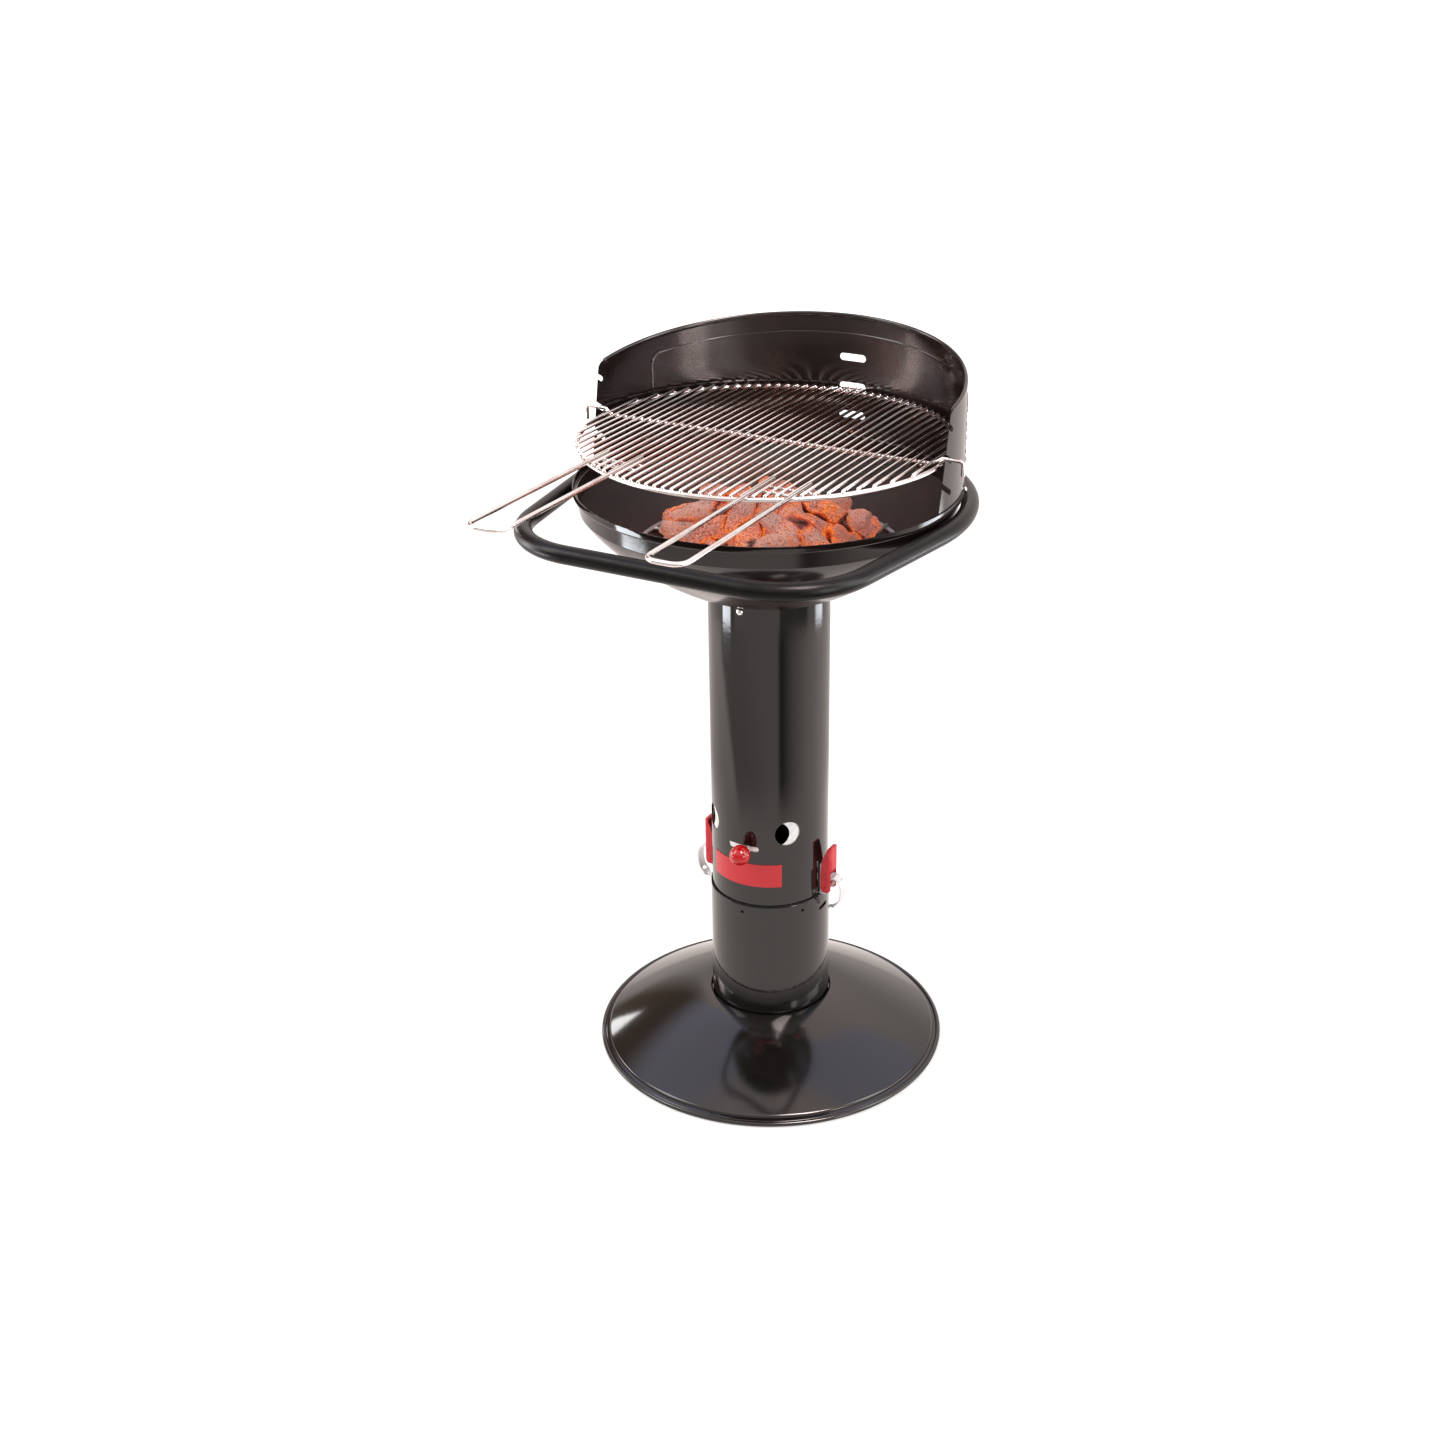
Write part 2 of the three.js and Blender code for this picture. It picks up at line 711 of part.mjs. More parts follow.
// The handle loop in plan: round the back of the bowl, straight arms, rounded front corners
function handlePath() {
  const cornerX = handleHalfWidth - handleCorner;
  const cornerY = handleCorner - handleFront;
  const reach = Math.hypot(cornerX, cornerY);
  const lean = Math.atan2(cornerY, cornerX) + Math.acos((handleRadius - handleCorner) / reach);
  const gap = handleButtGap / handleRadius / 2;
  const path = new THREE.Path();
  path.absarc(0, 0, handleRadius, Math.PI / 2 - gap, lean, true);
  path.absarc(cornerX, cornerY, handleCorner, lean, -Math.PI / 2, true);
  path.absarc(-cornerX, cornerY, handleCorner, -Math.PI / 2, -Math.PI - lean, true);
  path.absarc(0, 0, handleRadius, -Math.PI - lean, -3 * Math.PI / 2 + gap, true);
  return path;
}

function handleLoop() {
  const place = (x, y) => new THREE.Vector3(x, y, handleHeight);
  const tube = bent(handlePath(), place, [handleTube, handleTube], handleSteps, handleSides);
  const tools = handleScrewAngles.map((angle) => {
    const inner = handleRadius - 2 * handleTube;
    const outer = handleRadius - handleTube + handleScrewDepth;
    return radialBar(angle, handleHeight, inner, outer, boltRadius + clearance, screwSides);
  });
  return cutAll(tube, tools);
}

function handleScrew(angle) {
  const shrink = bowlWallTaper * (bowlShelfHeight - handleHeight + handleScrewHead) / bowlWallHeight;
  const inside = (bowlWallRadius - shrink - bowlSheet / 2) * Math.cos(Math.PI / dishSegments);
  const seat = inside - clearance;
  const tip = handleRadius - handleTube + handleScrewDepth - clearance;
  return inwardScrew(angle, handleHeight, seat, tip);
}

function cookingGrid() {
  const outer = ring(gridRadius, gridRingWire, wireSides, dishSegments);
  const pieces = [outer.translate(0, gridCentreY, gridHeight)];
  for (let i = -gridBarsEachSide; i <= gridBarsEachSide; i += 1) {
    const x = i * gridBarPitch;
    const half = Math.sqrt(gridRadius ** 2 - x ** 2) + gridRingWire / 2;
    const from = [x, gridCentreY - half, gridBarHeight];
    pieces.push(bar(from, [x, gridCentreY + half, gridBarHeight], gridBarWire, wireSides));
  }
  const low = gridBarHeight - gridBarWire - crossWire - clearance;
  const hook = [[hookReach, wireZ - hookLeg], [hookReach, wireZ]];
  const side = [...hook, [crossBendEnd, wireZ], [crossBendStart, low]];
  const mirrored = side.map(([x, z]) => [-x, z]).reverse();
  const cross = roundedPath([...side, ...mirrored], hookBend);
  const upright = (x, z) => new THREE.Vector3(x, wireY, z);
  pieces.push(bent(cross, upright, [crossWire, crossWire], bendSteps, wireSides));
  const back = gridCentreY + gridRadius;
  const tip = screenRadius + tonguePast - tongueWire;
  const shoulder = [(tongueSlotWidth - tongueSlotHeight) / 2, screenRadius - screenSheet];
  const leg = [[tongueRootWidth / 2, back - tongueRoot], shoulder, [tongueTipWidth / 2, tip]];
  const mirroredLeg = leg.map(([x, y]) => [-x, y]).reverse();
  const loop = roundedPath([...leg, ...mirroredLeg], tongueWire / 2);
  const level = (x, y) => new THREE.Vector3(x, y, gridHeight + tongueRise);
  pieces.push(bent(loop, level, [tongueWire, tongueWire], bendSteps, wireSides));
  [-1, 1].forEach((side) => gripTieInsets.forEach((inset) => {
    const centre = side * gripBarSteps * gridBarPitch;
    const reach = gripGapBars * gridBarPitch + gripTieOverhang;
    const at = [-gripRootReach - inset, gridHeight + gridRingWire - gripTieWire];
    pieces.push(bar([centre - reach, ...at], [centre + reach, ...at], gripTieWire, wireSides));
  }));
  return joinAll(pieces);
}

function gridHandle(side) {
  const centre = side * gripBarSteps * gridBarPitch;
  const half = gripGapBars * gridBarPitch;
  const height = gridHeight + gridRingWire + clearance + gripWire;
  const path = roundedPath([
    [centre - half, -gripRootReach],
    [centre - half, -gripTipReach],
    [centre + half, -gripTipReach],
    [centre + half, -gripRootReach],
  ], gripCorner);
  const place = (x, y) => new THREE.Vector3(x, y, height);
  return bent(path, place, [gripWire, gripWire], bendSteps, wireSides);
}

// The height at which a wire ring of this radius rests on the sloping inside of the bowl
function seatInBowl(radius, wire) {
  const wall = bowlCurve().getSpacedPoints(bowlSteps);
  const offset = bowlSheet / 2 + clearance + wire;
  let seat = 0;
  wall.slice(1).forEach((outer, i) => {
    const inner = wall[i];
    const slope = outer.clone().sub(inner).normalize();
    const height = inner.y + (radius - inner.x) * slope.y / slope.x + offset / slope.x;
    seat = Math.max(seat, height);
  });
  return seat;
}

const grateHeight = seatInBowl(grateRadius, grateRingWire);
const grateTop = grateHeight + grateRingWire / 2 + 2 * grateBarWire;

function charcoalGrate() {
  const outer = ring(grateRadius, grateRingWire, barSides, dishSegments / 2);
  const pieces = [outer.translate(0, 0, grateHeight)];
  const level = grateHeight + grateRingWire / 2 + grateBarWire;
  for (let i = -grateBarsEachSide; i <= grateBarsEachSide; i += 1) {
    const x = i * grateBarPitch;
    const half = Math.sqrt(grateRadius ** 2 - x ** 2);
    pieces.push(bar([x, -half, level], [x, half, level], grateBarWire, barSides));
  }
  const tie = grateHeight - grateRingWire / 2;
  pieces.push(bar([-grateRadius, 0, tie], [grateRadius, 0, tie], grateBarWire, barSides));
  return joinAll(pieces);
}

// A rounded, dented lump of charcoal that lies in the heap at a height above the grate
function coalLump(place, turn, height, seed) {
  const lump = new THREE.SphereGeometry(1, ...lumpSides);
  const at = new THREE.Vector3();
  const corners = lump.attributes.position;
  for (let i = 0; i < corners.count; i += 1) {
    at.fromBufferAttribute(corners, i);
    const wave = [3.1 * at.x + seed, 2.7 * at.y - seed, 3.7 * at.z + 2 * seed];
    const dent = Math.sin(wave[0]) * Math.cos(wave[1]) + Math.sin(wave[2]);
    at.multiplyScalar(1 + coalDentShare * dent);
    corners.setXYZ(i, at.x, at.y, at.z);
  }
  lump.scale(coalLength / 2, coalWidth / 2, coalHeight / 2);
  return lump.rotateZ(turn).translate(place[0], place[1], grateTop + height);
}

// Lumps spread evenly over a round layer, each one turned by the same angle from the last
function coalLayer(count, radius, height, start) {
  const lumps = [];
  for (let i = 0; i < count; i += 1) {
    const turn = (i + start) * radians(goldenAngle);
    const out = radius * Math.sqrt((i + 0.5) / count);
    lumps.push(coalLump([out * Math.cos(turn), out * Math.sin(turn)], 2 * turn, height, i + start));
  }
  return lumps;
}

function swollen(geometry, growth) {
  const grown = geometry.clone();
  grown.computeBoundingBox();
  const middle = grown.boundingBox.getCenter(new THREE.Vector3());
  const size = grown.boundingBox.getSize(new THREE.Vector3());
  grown.translate(-middle.x, -middle.y, -middle.z);
  grown.scale(1 + 2 * growth / size.x, 1 + 2 * growth / size.y, 1 + 2 * growth / size.z);
  return grown.translate(middle.x, middle.y, middle.z);
}

function coals() {
  const group = new THREE.Group();
  const slab = new THREE.BoxGeometry(4 * coalHeapRadius, 4 * coalHeapRadius, 2 * overrun);
  const underneath = solidOf(slab.translate(0, 0, grateTop + clearance - overrun));
  const lower = coalLayer(lowerCoals, coalHeapRadius - coalWidth / 2, coalHeight * lowerLayerShare, 0);
  const upperRadius = (coalHeapRadius - coalWidth) * upperSpreadShare;
  const upper = coalLayer(upperCoals, upperRadius, coalHeight * upperLayerShare, lowerCoals);
  const placed = [];
  [...lower, ...upper].forEach((lump, i) => {
    const room = placed.reduce((body, other) => body.subtract(other), solidOf(lump).subtract(underneath));
    placed.push(solidOf(swollen(lump, 2 * clearance)));
    group.add(named(`coal_${String(i + 1).padStart(2, '0')}`, geometryOf(room), hotCoal));
  });
  return group;
}

// Side outline of the latch lever about its pivot, as shares of its depth and length
const leverBackShares = [[0.51, 0.23], [0.51, 1], [0.17, 1]];
const leverFrontShares = [[-0.14, 0.81], [-0.44, 0.525], [-0.48, 0.27]];

function leverShape() {
  const shape = new THREE.Shape();
  shape.absarc(0, 0, leverFoot, Math.PI, 2 * Math.PI);
  [...leverBackShares, ...leverFrontShares].forEach(([x, z]) => {
    shape.lineTo(x * leverDepth, z * leverLength);
  });
  shape.closePath();
  return shape;
}

function latchLever() {
  const window = leverWindowShare * leverLength;
  const web = leverBackShares[1][0] * leverDepth - leverWall;
  const far = leverLength + overrun;
  const hollow = shapeOf([
    [-far, -far],
    [far, -far],
    [far, window],
    [web, window],
    [web, leverLength - leverWall],
    [-far, leverLength - leverWall],
  ]);
  const pinHole = clawPinRadius + clearance;
  const tools = [
    plateAcross(hollow, leverWidth - 2 * leverWall),
    bar([0, -overrun, 0], [0, overrun, 0], leverPinRadius + clearance, pinSides),
    bar([clawOut, -overrun, clawPivotRise], [clawOut, overrun, clawPivotRise], pinHole, pinSides),
  ];
  return cutAll(plateAcross(leverShape(), leverWidth), tools);
}

// The claw pivot lies outward of the lever pivot
const clawOut = clawPivotOut - latchPivotOut;

function stripShape(points, thickness) {
  const curve = new THREE.SplineCurve(points.map(([x, y]) => new THREE.Vector2(x, y)));
  const path = curve.getSpacedPoints(2 * points.length).map((at) => [at.x, at.y]);
  return shapeOf(sheetOutline(path, thickness));
}

// The claw about its own pivot, as shares of its reach
const clawTopShares = [[0.05, 0.04], [0.2, 0.02], [0.34, -0.14]];
const clawSideShares = [[0.372, -0.43], [0.31, -0.72], [0.17, -0.9]];
const clawTongueShares = [[0.2, -0.87], [0.1, -0.96], [0.02, -1], [-0.07, -1.02]];

function latchClaw() {
  const scaled = (shares) => shares.map(([x, z]) => [x * clawReach, z * clawReach]);
  const pieces = [
    bar([0, -clawWidth / 2, 0], [0, clawWidth / 2, 0], clawEye, 12),
    plateAcross(stripShape(scaled([...clawTopShares, ...clawSideShares]), clawSheet), clawWidth),
    plateAcross(stripShape(scaled(clawTongueShares), clawSheet), clawTongueWidth),
  ];
  const eye = bar([0, -overrun, 0], [0, overrun, 0], clawPinRadius + clearance, pinSides);
  return cutAll(joinAll(pieces), [eye]);
}

function latchBracket() {
  const plate = new THREE.BoxGeometry(bracketSheet, bracketWidth, bracketHeight);
  plate.translate(bracketSheet / 2 - latchPivotOut + clearance, 0, bracketHeight / 2 - bracketDrop);
  const ear = new THREE.Shape();
  ear.moveTo(bracketSheet / 2 - latchPivotOut + clearance, -bracketEar);
  ear.lineTo(0, -bracketEar);
  ear.absarc(0, 0, bracketEar, -Math.PI / 2, Math.PI / 2);
  ear.lineTo(bracketSheet / 2 - latchPivotOut + clearance, bracketEar);
  ear.closePath();
  const offset = leverWidth / 2 - leverWall - bracketEarInset;
  const ears = [-offset, offset].map((y) => plateAcross(ear, bracketSheet).translate(0, y, 0));
  const bore = bar([0, -overrun, 0], [0, overrun, 0], leverPinRadius + clearance, pinSides);
  return cutAll(joinAll([plate, ...ears]), [bore]);
}

function headedPin(radius, head) {
  const half = leverWidth / 2 + clearance;
  return revolve([
    [0, -half - leverPinHead],
    [head, -half - leverPinHead],
    [head, -half],
    [radius, -half],
    [radius, half],
    [head, half],
    [head, half + leverPinHead],
    [0, half + leverPinHead],
  ], screwSides).rotateX(Math.PI / 2);
}

function latch(name, turn) {
  const frame = new THREE.Group();
  const claw = new THREE.Group();
  claw.position.set(clawOut, 0, clawPivotRise);
  claw.add(named(`latch_claw_${name}`, latchClaw(), galvanised));
  claw.add(named(`claw_pin_${name}`, headedPin(clawPinRadius, 1.6 * clawPinRadius), galvanised));
  frame.add(named(`latch_bracket_${name}`, latchBracket(), galvanised));
  frame.add(named(`latch_lever_${name}`, latchLever(), redPlastic));
  frame.add(named(`lever_pin_${name}`, headedPin(leverPinRadius, 1.6 * leverPinRadius), galvanised));
  frame.add(claw);
  frame.position.set(columnRadius + latchPivotOut, 0, jointHeight + latchPivotRise);
  const side = new THREE.Group();
  side.add(frame);
  side.rotation.z = turn;
  return side;
}

function stand() {
  const group = new THREE.Group();
  group.add(named('base_dish', baseDish(), blackEnamel));
  group.add(named('ash_pot', ashPot(), blackEnamel));
  group.add(named('stop_ring', stopRing(), galvanised));
  for (let i = 0; i < baseScrewCount; i += 1) {
    group.add(named(`base_screw_${i + 1}`, baseScrew(i), galvanised));
  }
  return group;
}

function fasteners() {
  const group = new THREE.Group();
  for (let i = 0; i < bowlScrewCount; i += 1) {
    const seat = columnRadius + clearance;
    const tip = seat - bowlCollarRadius + boltInset;
    const height = columnTop - bowlScrewDrop;
    const angle = 360 * i / bowlScrewCount;
    const screw = radialScrew(angle, height, seat, tip, boltRadius, boltHead, boltHeadHeight);
    group.add(named(`bowl_screw_${i + 1}`, screw, chromed));
  }
  screenScrewAngles.forEach((angle, i) => {
    const seat = bowlRimRadius + clearance;
    const tip = seat - screenRadius + screenSheet + boltInset;
    const height = screenBottom + screenScrewRise;
    const head = [screenScrewHead, screenScrewHeadHeight];
    const screw = radialScrew(angle, height, seat, tip, boltRadius, ...head);
    group.add(named(`screen_screw_${i + 1}`, screw, chromed));
  });
  handleScrewAngles.forEach((angle, i) => {
    group.add(named(`handle_screw_${i + 1}`, handleScrew(angle), chromed));
  });
  return group;
}

const grill = new THREE.Group();
grill.add(stand());
grill.add(named('column_tube', columnTube(), blackEnamel));
grill.add(damper());
grill.add(named('fire_bowl', fireBowl(), blackEnamel));
grill.add(named('windscreen', windscreen(), blackEnamel));
grill.add(named('handle_loop', handleLoop(), blackSatin));
grill.add(fasteners());
grill.add(latch('right', 0));
grill.add(latch('left', Math.PI));
grill.add(named('charcoal_grate', charcoalGrate(), galvanised));
grill.add(coals());
grill.add(named('cooking_grid', cookingGrid(), chromed));
grill.add(named('grid_handle_right', gridHandle(1), chromed));
grill.add(named('grid_handle_left', gridHandle(-1), chromed));

export default grill;
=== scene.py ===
import json
import math
import random

import bmesh
import bpy
from mathutils import Matrix, Vector, kdtree, noise

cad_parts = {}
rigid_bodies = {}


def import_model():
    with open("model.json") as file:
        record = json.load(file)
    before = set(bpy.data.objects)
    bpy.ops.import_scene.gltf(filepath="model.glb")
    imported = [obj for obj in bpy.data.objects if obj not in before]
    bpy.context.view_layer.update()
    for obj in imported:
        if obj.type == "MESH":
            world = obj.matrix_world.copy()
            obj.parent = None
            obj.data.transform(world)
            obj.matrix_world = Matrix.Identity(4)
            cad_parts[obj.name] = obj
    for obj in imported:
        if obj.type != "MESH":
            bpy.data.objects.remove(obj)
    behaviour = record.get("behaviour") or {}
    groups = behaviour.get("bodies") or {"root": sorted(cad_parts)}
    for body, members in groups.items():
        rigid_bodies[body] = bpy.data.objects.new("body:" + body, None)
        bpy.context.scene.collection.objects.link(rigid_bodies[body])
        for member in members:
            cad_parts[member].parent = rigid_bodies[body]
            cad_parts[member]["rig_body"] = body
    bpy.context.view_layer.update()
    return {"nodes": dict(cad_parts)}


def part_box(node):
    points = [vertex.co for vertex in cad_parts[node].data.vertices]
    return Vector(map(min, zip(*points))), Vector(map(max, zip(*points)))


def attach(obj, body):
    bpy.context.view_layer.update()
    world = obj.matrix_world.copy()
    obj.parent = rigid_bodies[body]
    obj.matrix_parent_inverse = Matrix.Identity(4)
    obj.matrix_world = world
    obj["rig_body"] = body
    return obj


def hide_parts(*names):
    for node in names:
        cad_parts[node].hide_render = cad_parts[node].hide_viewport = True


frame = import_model()
mm = 0.001
print("frame loaded,", len(frame["nodes"]), "nodes")


# an operator and its reflected form, which both add a Math node
def operatorPair(operation):
    def plain(self, other):
        return self.maths(operation, self, other)

    def reflected(self, other):
        return self.maths(operation, other, self)

    return plain, reflected


# shader maths as Python expressions
class Wire:
    def __init__(self, shader, socket):
        self.shader = shader
        self.socket = socket

    def maths(self, operation, *values):
        return self.shader.add("ShaderNodeMath", {"operation": operation}, dict(enumerate(values)))

    __add__, __radd__ = operatorPair("ADD")
    __sub__, __rsub__ = operatorPair("SUBTRACT")
    __mul__, __rmul__ = operatorPair("MULTIPLY")
    __truediv__, __rtruediv__ = operatorPair("DIVIDE")
    __pow__, __rpow__ = operatorPair("POWER")


class Shader:
    def __init__(self, owner):
        owner.use_nodes = True
        self.owner = owner
        self.tree = owner.node_tree
        self.tree.nodes.clear()

    def add(self, kind, settings=None, sockets=None, output=0):
        made = self.tree.nodes.new(kind)
        for name, value in (settings or {}).items():
            if name == "stops":
                ramp = made.color_ramp
                while len(ramp.elements) < len(value):
                    ramp.elements.new(1)
                for element, (place, colour) in zip(ramp.elements, value):
                    element.position = place
                    element.color = colour
            else:
                setattr(made, name, value)
        for name, value in (sockets or {}).items():
            if isinstance(value, Wire):
                self.tree.links.new(value.socket, made.inputs[name])
            else:
                made.inputs[name].default_value = value
        return Wire(self, made.outputs[output]) if len(made.outputs) else None

    def place(self):
        return self.add("ShaderNodeTexCoord", {}, {}, "Object")

    def speckle(self, scale, detail, rough=0.5, vector=None):
        sockets = {"Vector": vector or self.place(), "Scale": scale, "Detail": detail, "Roughness": rough}
        return self.add("ShaderNodeTexNoise", {}, sockets)

    def between(self, value, low, high):
        settings = {"clamp": True, "interpolation_type": "SMOOTHSTEP"}
        return self.add("ShaderNodeMapRange", settings, {"Value": value, "From Min": low, "From Max": high})

    def blend(self, mask, first, second):
        return self.add("ShaderNodeMix", {"data_type": "RGBA"}, {0: mask, 6: first, 7: second}, 2)

    def bump(self, height, strength, distance):
        return self.add("ShaderNodeBump", {}, {"Height": height, "Strength": strength, "Distance": distance})

    # the first surface or light where the mask is 0, the second where it is 1
    def choose(self, mask, first, second):
        return self.add("ShaderNodeMixShader", {}, {0: mask, 1: first, 2: second})

    def shine(self, kind, colour, strength):
        return self.add("ShaderNode" + kind, {}, {"Color": colour, "Strength": strength})

    def surface(self, sockets):
        shade = self.add("ShaderNodeBsdfPrincipled", {}, sockets)
        self.add("ShaderNodeOutputMaterial", {}, {"Surface": shade})
        return self.owner


# a colour written as on the screen, 0 to 255
def tint(red, green, blue):
    levels = [value / 255 for value in (red, green, blue)]
    return tuple(v / 12.92 if v <= 0.04045 else ((v + 0.055) / 1.055) ** 2.4 for v in levels) + (1,)


def newShader(name):
    return Shader(bpy.data.materials.new(name))


def splitVector(shader, vector):
    parts = shader.add("ShaderNodeSeparateXYZ", {}, {"Vector": vector}).socket.node.outputs
    return [Wire(shader, part) for part in parts]


enamelLook = {
    "colour": tint(22, 20, 19),
    "dust": tint(46, 42, 40),
    "tubes": (0.045, 0.05),      # roughness where clean, and what haze adds
    "dish": (0.1, 0.035),
}


def enamel(name):
    shader = newShader(name + "Enamel")
    clean, hazy = enamelLook[name]
    haze = shader.between(shader.speckle(9, 4), 0.42, 0.72)
    dust = shader.between(shader.speckle(900, 1), 0.7, 0.78)
    return shader.surface({
        "Base Color": shader.blend(dust * 0.5, enamelLook["colour"], enamelLook["dust"]),
        "Roughness": clean + haze * hazy + dust * 0.1,
        "Specular IOR Level": 0.55,
        "Normal": shader.bump(shader.speckle(190, 2), 0.05, 0.0006),
    })


# enamel that heat has browned towards the fire
sootLook = {
    "clean": tint(30, 22, 20),
    "brown": tint(58, 36, 29),
    "soot": tint(62, 37, 30),
    "fire": (0.79, 0.73),        # heights in metres where the soot starts and where it is full
    "wall": (0.803, 0.797),      # the inside is dull below these
    "back": (0.1, 0.28),         # how far back the lighter brown clouds start and are full
    "rim": (0.2468, 0.2475),     # the polished rim, as far out as this
}


def sootyEnamel():
    shader = newShader("sootyEnamel")
    east, north, up = splitVector(shader, shader.place())
    cloud = shader.speckle(14, 5, 0.6)
    fire = shader.between(up + cloud * 0.05, *sootLook["fire"])
    back = shader.between(north + cloud * 0.12, *sootLook["back"])
    rim = shader.between((east * east + north * north) ** 0.5, *sootLook["rim"])
    facing = splitVector(shader, shader.add("ShaderNodeNewGeometry", {}, {}, "True Normal"))
    inward = shader.between(facing[2], 0.05, 0.2) * shader.between(up, *sootLook["wall"])
    # lighter brown clouds towards the back
    backClouds = shader.between(cloud, 0.45, 0.7) * back
    tone = shader.blend(backClouds * 0.7, sootLook["clean"], sootLook["brown"])
    return shader.surface({
        "Base Color": shader.blend(fire * 0.8, tone, sootLook["soot"]),
        "Roughness": 0.13 + backClouds * 0.08 + inward * 0.5 - rim * 0.08,
        "Specular IOR Level": 0.55,
        "Normal": shader.bump(shader.speckle(190, 2), 0.06, 0.0006),
    })


wireLook = {"bright": tint(232, 228, 227), "heated": tint(196, 176, 170)}


def chromeWire():
    shader = newShader("chromeWire")
    cloud = shader.speckle(22, 3)
    fine = shader.speckle(420, 2)
    heat = shader.between(cloud, 0.42, 0.68)
    return shader.surface({
        "Base Color": shader.blend(heat * 0.6, wireLook["bright"], wireLook["heated"]),
        "Metallic": 1.0,
        "Roughness": 0.09 + heat * 0.08 + fine * 0.05,
        "Normal": shader.bump(fine, 0.05, 0.0003),
    })


zincLook = {"light": tint(246, 246, 245), "dark": tint(222, 223, 225)}


def galvanised():
    shader = newShader("galvanised")
    sockets = {"Vector": shader.place(), "Scale": 260.0}
    cells = shader.add("ShaderNodeTexVoronoi", {"feature": "F1"}, sockets, "Color")
    spangle = shader.add("ShaderNodeSeparateColor", {}, {"Color": cells})
    return shader.surface({
        "Base Color": shader.blend(spangle * 0.6, zincLook["light"], zincLook["dark"]),
        "Metallic": 0.45,
        "Roughness": 0.28 + spangle * 0.1,
        "Normal": shader.bump(spangle, 0.05, 0.0003),
    })


emberLook = {
    "glow": [
        (0.0, tint(28, 8, 4)),
        (0.14, tint(70, 20, 9)),
        (0.3, tint(214, 62, 14)),
        (0.42, tint(255, 128, 36)),
        (0.56, tint(246, 122, 76)),
        (0.85, tint(186, 104, 88)),
    ],
    "speck": tint(58, 16, 8),
    "char": tint(38, 20, 15),
    "ash": tint(214, 184, 176),
    # the emission of the ash crust on the coals' tops: painted light
    "paintedLitCrust": tint(100, 64, 56),
    "strength": 1.1,
}


# the point attribute "open" is 1 on the bare tops and 0 where coals meet: painted light on the tops and
# painted shade between the coals
def ember():
    shader = newShader("ember")
    paintedTopLight = shader.add("ShaderNodeAttribute", {"attribute_name": "open"}, {}, "Fac")
    lump = shader.speckle(24, 3, 0.6)
    region = shader.between(shader.speckle(15, 1), 0.4, 0.6)
    fine = shader.speckle(380, 2, 0.6)
    grain = shader.speckle(530, 2, 0.6)
    ash = shader.between(fine + region * 0.12 + paintedTopLight * 0.06, 0.54, 0.66)
    # painted light and shade: the bare tops glow hotter and the gaps between coals darker, over the heat's
    # random clouds
    heatAndPaintedLight = paintedTopLight * 0.66 + (lump - 0.5) * 2.1
    heat = shader.add("ShaderNodeValToRGB", {"stops": emberLook["glow"]}, {"Fac": heatAndPaintedLight})
    specks = shader.between(grain, 0.52, 0.42)
    speckled = shader.blend(specks * 0.8, heat, emberLook["speck"])
    # painted light: the ash on the bare tops gives off the crust's colour
    glow = shader.blend(paintedTopLight * (ash * 0.5 + region * 0.3), speckled, emberLook["paintedLitCrust"])
    return shader.surface({
        # the ash colour shows only on the bare tops, partly painted light
        "Base Color": shader.blend(ash * paintedTopLight * 0.85, emberLook["char"], emberLook["ash"]),
        "Roughness": 0.92,
        "Emission Color": glow,
        "Emission Strength": emberLook["strength"],
        "Normal": shader.bump(fine, 0.9, 0.0025),
    })


# finishes of one colour that is clouded towards another, with a fine grain
plainLooks = {
    "blackSatin": {
        "colours": (tint(13, 12, 12), tint(24, 22, 21)),
        "cloud": (30, 4),      # scale and detail
        "shown": (0.5, 0.75),      # where the second colour starts and is full
        "rough": (0.24, 0.12),      # where smooth, and what the cloud adds
        "grain": (1400, 2, 0.12, 0.0003),      # scale, detail, strength and depth
        "more": {"Specular IOR Level": 0.19},
    },
    "redLever": {
        "colours": (tint(226, 42, 54), tint(238, 74, 84)),
        "cloud": (60, 4),
        "shown": (0.55, 0.8),
        "rough": (0.34, 0.12),
        "grain": (1100, 2, 0.1, 0.0003),
    },
    "redKnob": {
        "colours": (tint(206, 2, 6), tint(224, 12, 12)),
        "cloud": (50, 3),
        "rough": (0.1, 0.06),
        "grain": (700, 2, 0.03, 0.0003),
        "more": {"Coat Weight": 0.08},
    },
    "redPlate": {
        "colours": (tint(222, 36, 46), tint(230, 48, 57)),
        "cloud": (40, 3),
        "rough": (0.24, 0.1),
        "grain": (800, 2, 0.03, 0.0002),
    },
    # near black of the ring that paints the shadow in the pot's joint
    "shadeBlack": {
        "colours": (tint(9, 8, 8), tint(18, 17, 16)),
        "cloud": (600, 3),
        "rough": (0.75, 0.15),
        "grain": (600, 3, 0.3, 0.0003),
        "more": {"Specular IOR Level": 0.2},
    },
}


def plainFinish(name):
    look = plainLooks[name]
    shader = newShader(name)
    cloud = shader.speckle(*look["cloud"])
    shown = shader.between(cloud, *look["shown"]) if "shown" in look else cloud
    smooth, added = look["rough"]
    scale, detail, strength, depth = look["grain"]
    sockets = {
        "Base Color": shader.blend(shown, *look["colours"]),
        "Roughness": smooth + cloud * added,
        "Normal": shader.bump(shader.speckle(scale, detail), strength, depth),
    }
    return shader.surface(sockets | look.get("more", {}))


finish = {
    "enamel": enamel("tubes"),
    "dish": enamel("dish"),
    "soot": sootyEnamel(),
    "satin": plainFinish("blackSatin"),
    "wire": chromeWire(),
    "zinc": galvanised(),
    "lever": plainFinish("redLever"),
    "knob": plainFinish("redKnob"),
    "plate": plainFinish("redPlate"),
    "ember": ember(),
    "shadeBlack": plainFinish("shadeBlack"),
}
print("finishes mixed")

past = 8      # how far a cutter reaches past the wall it cuts, in millimetres


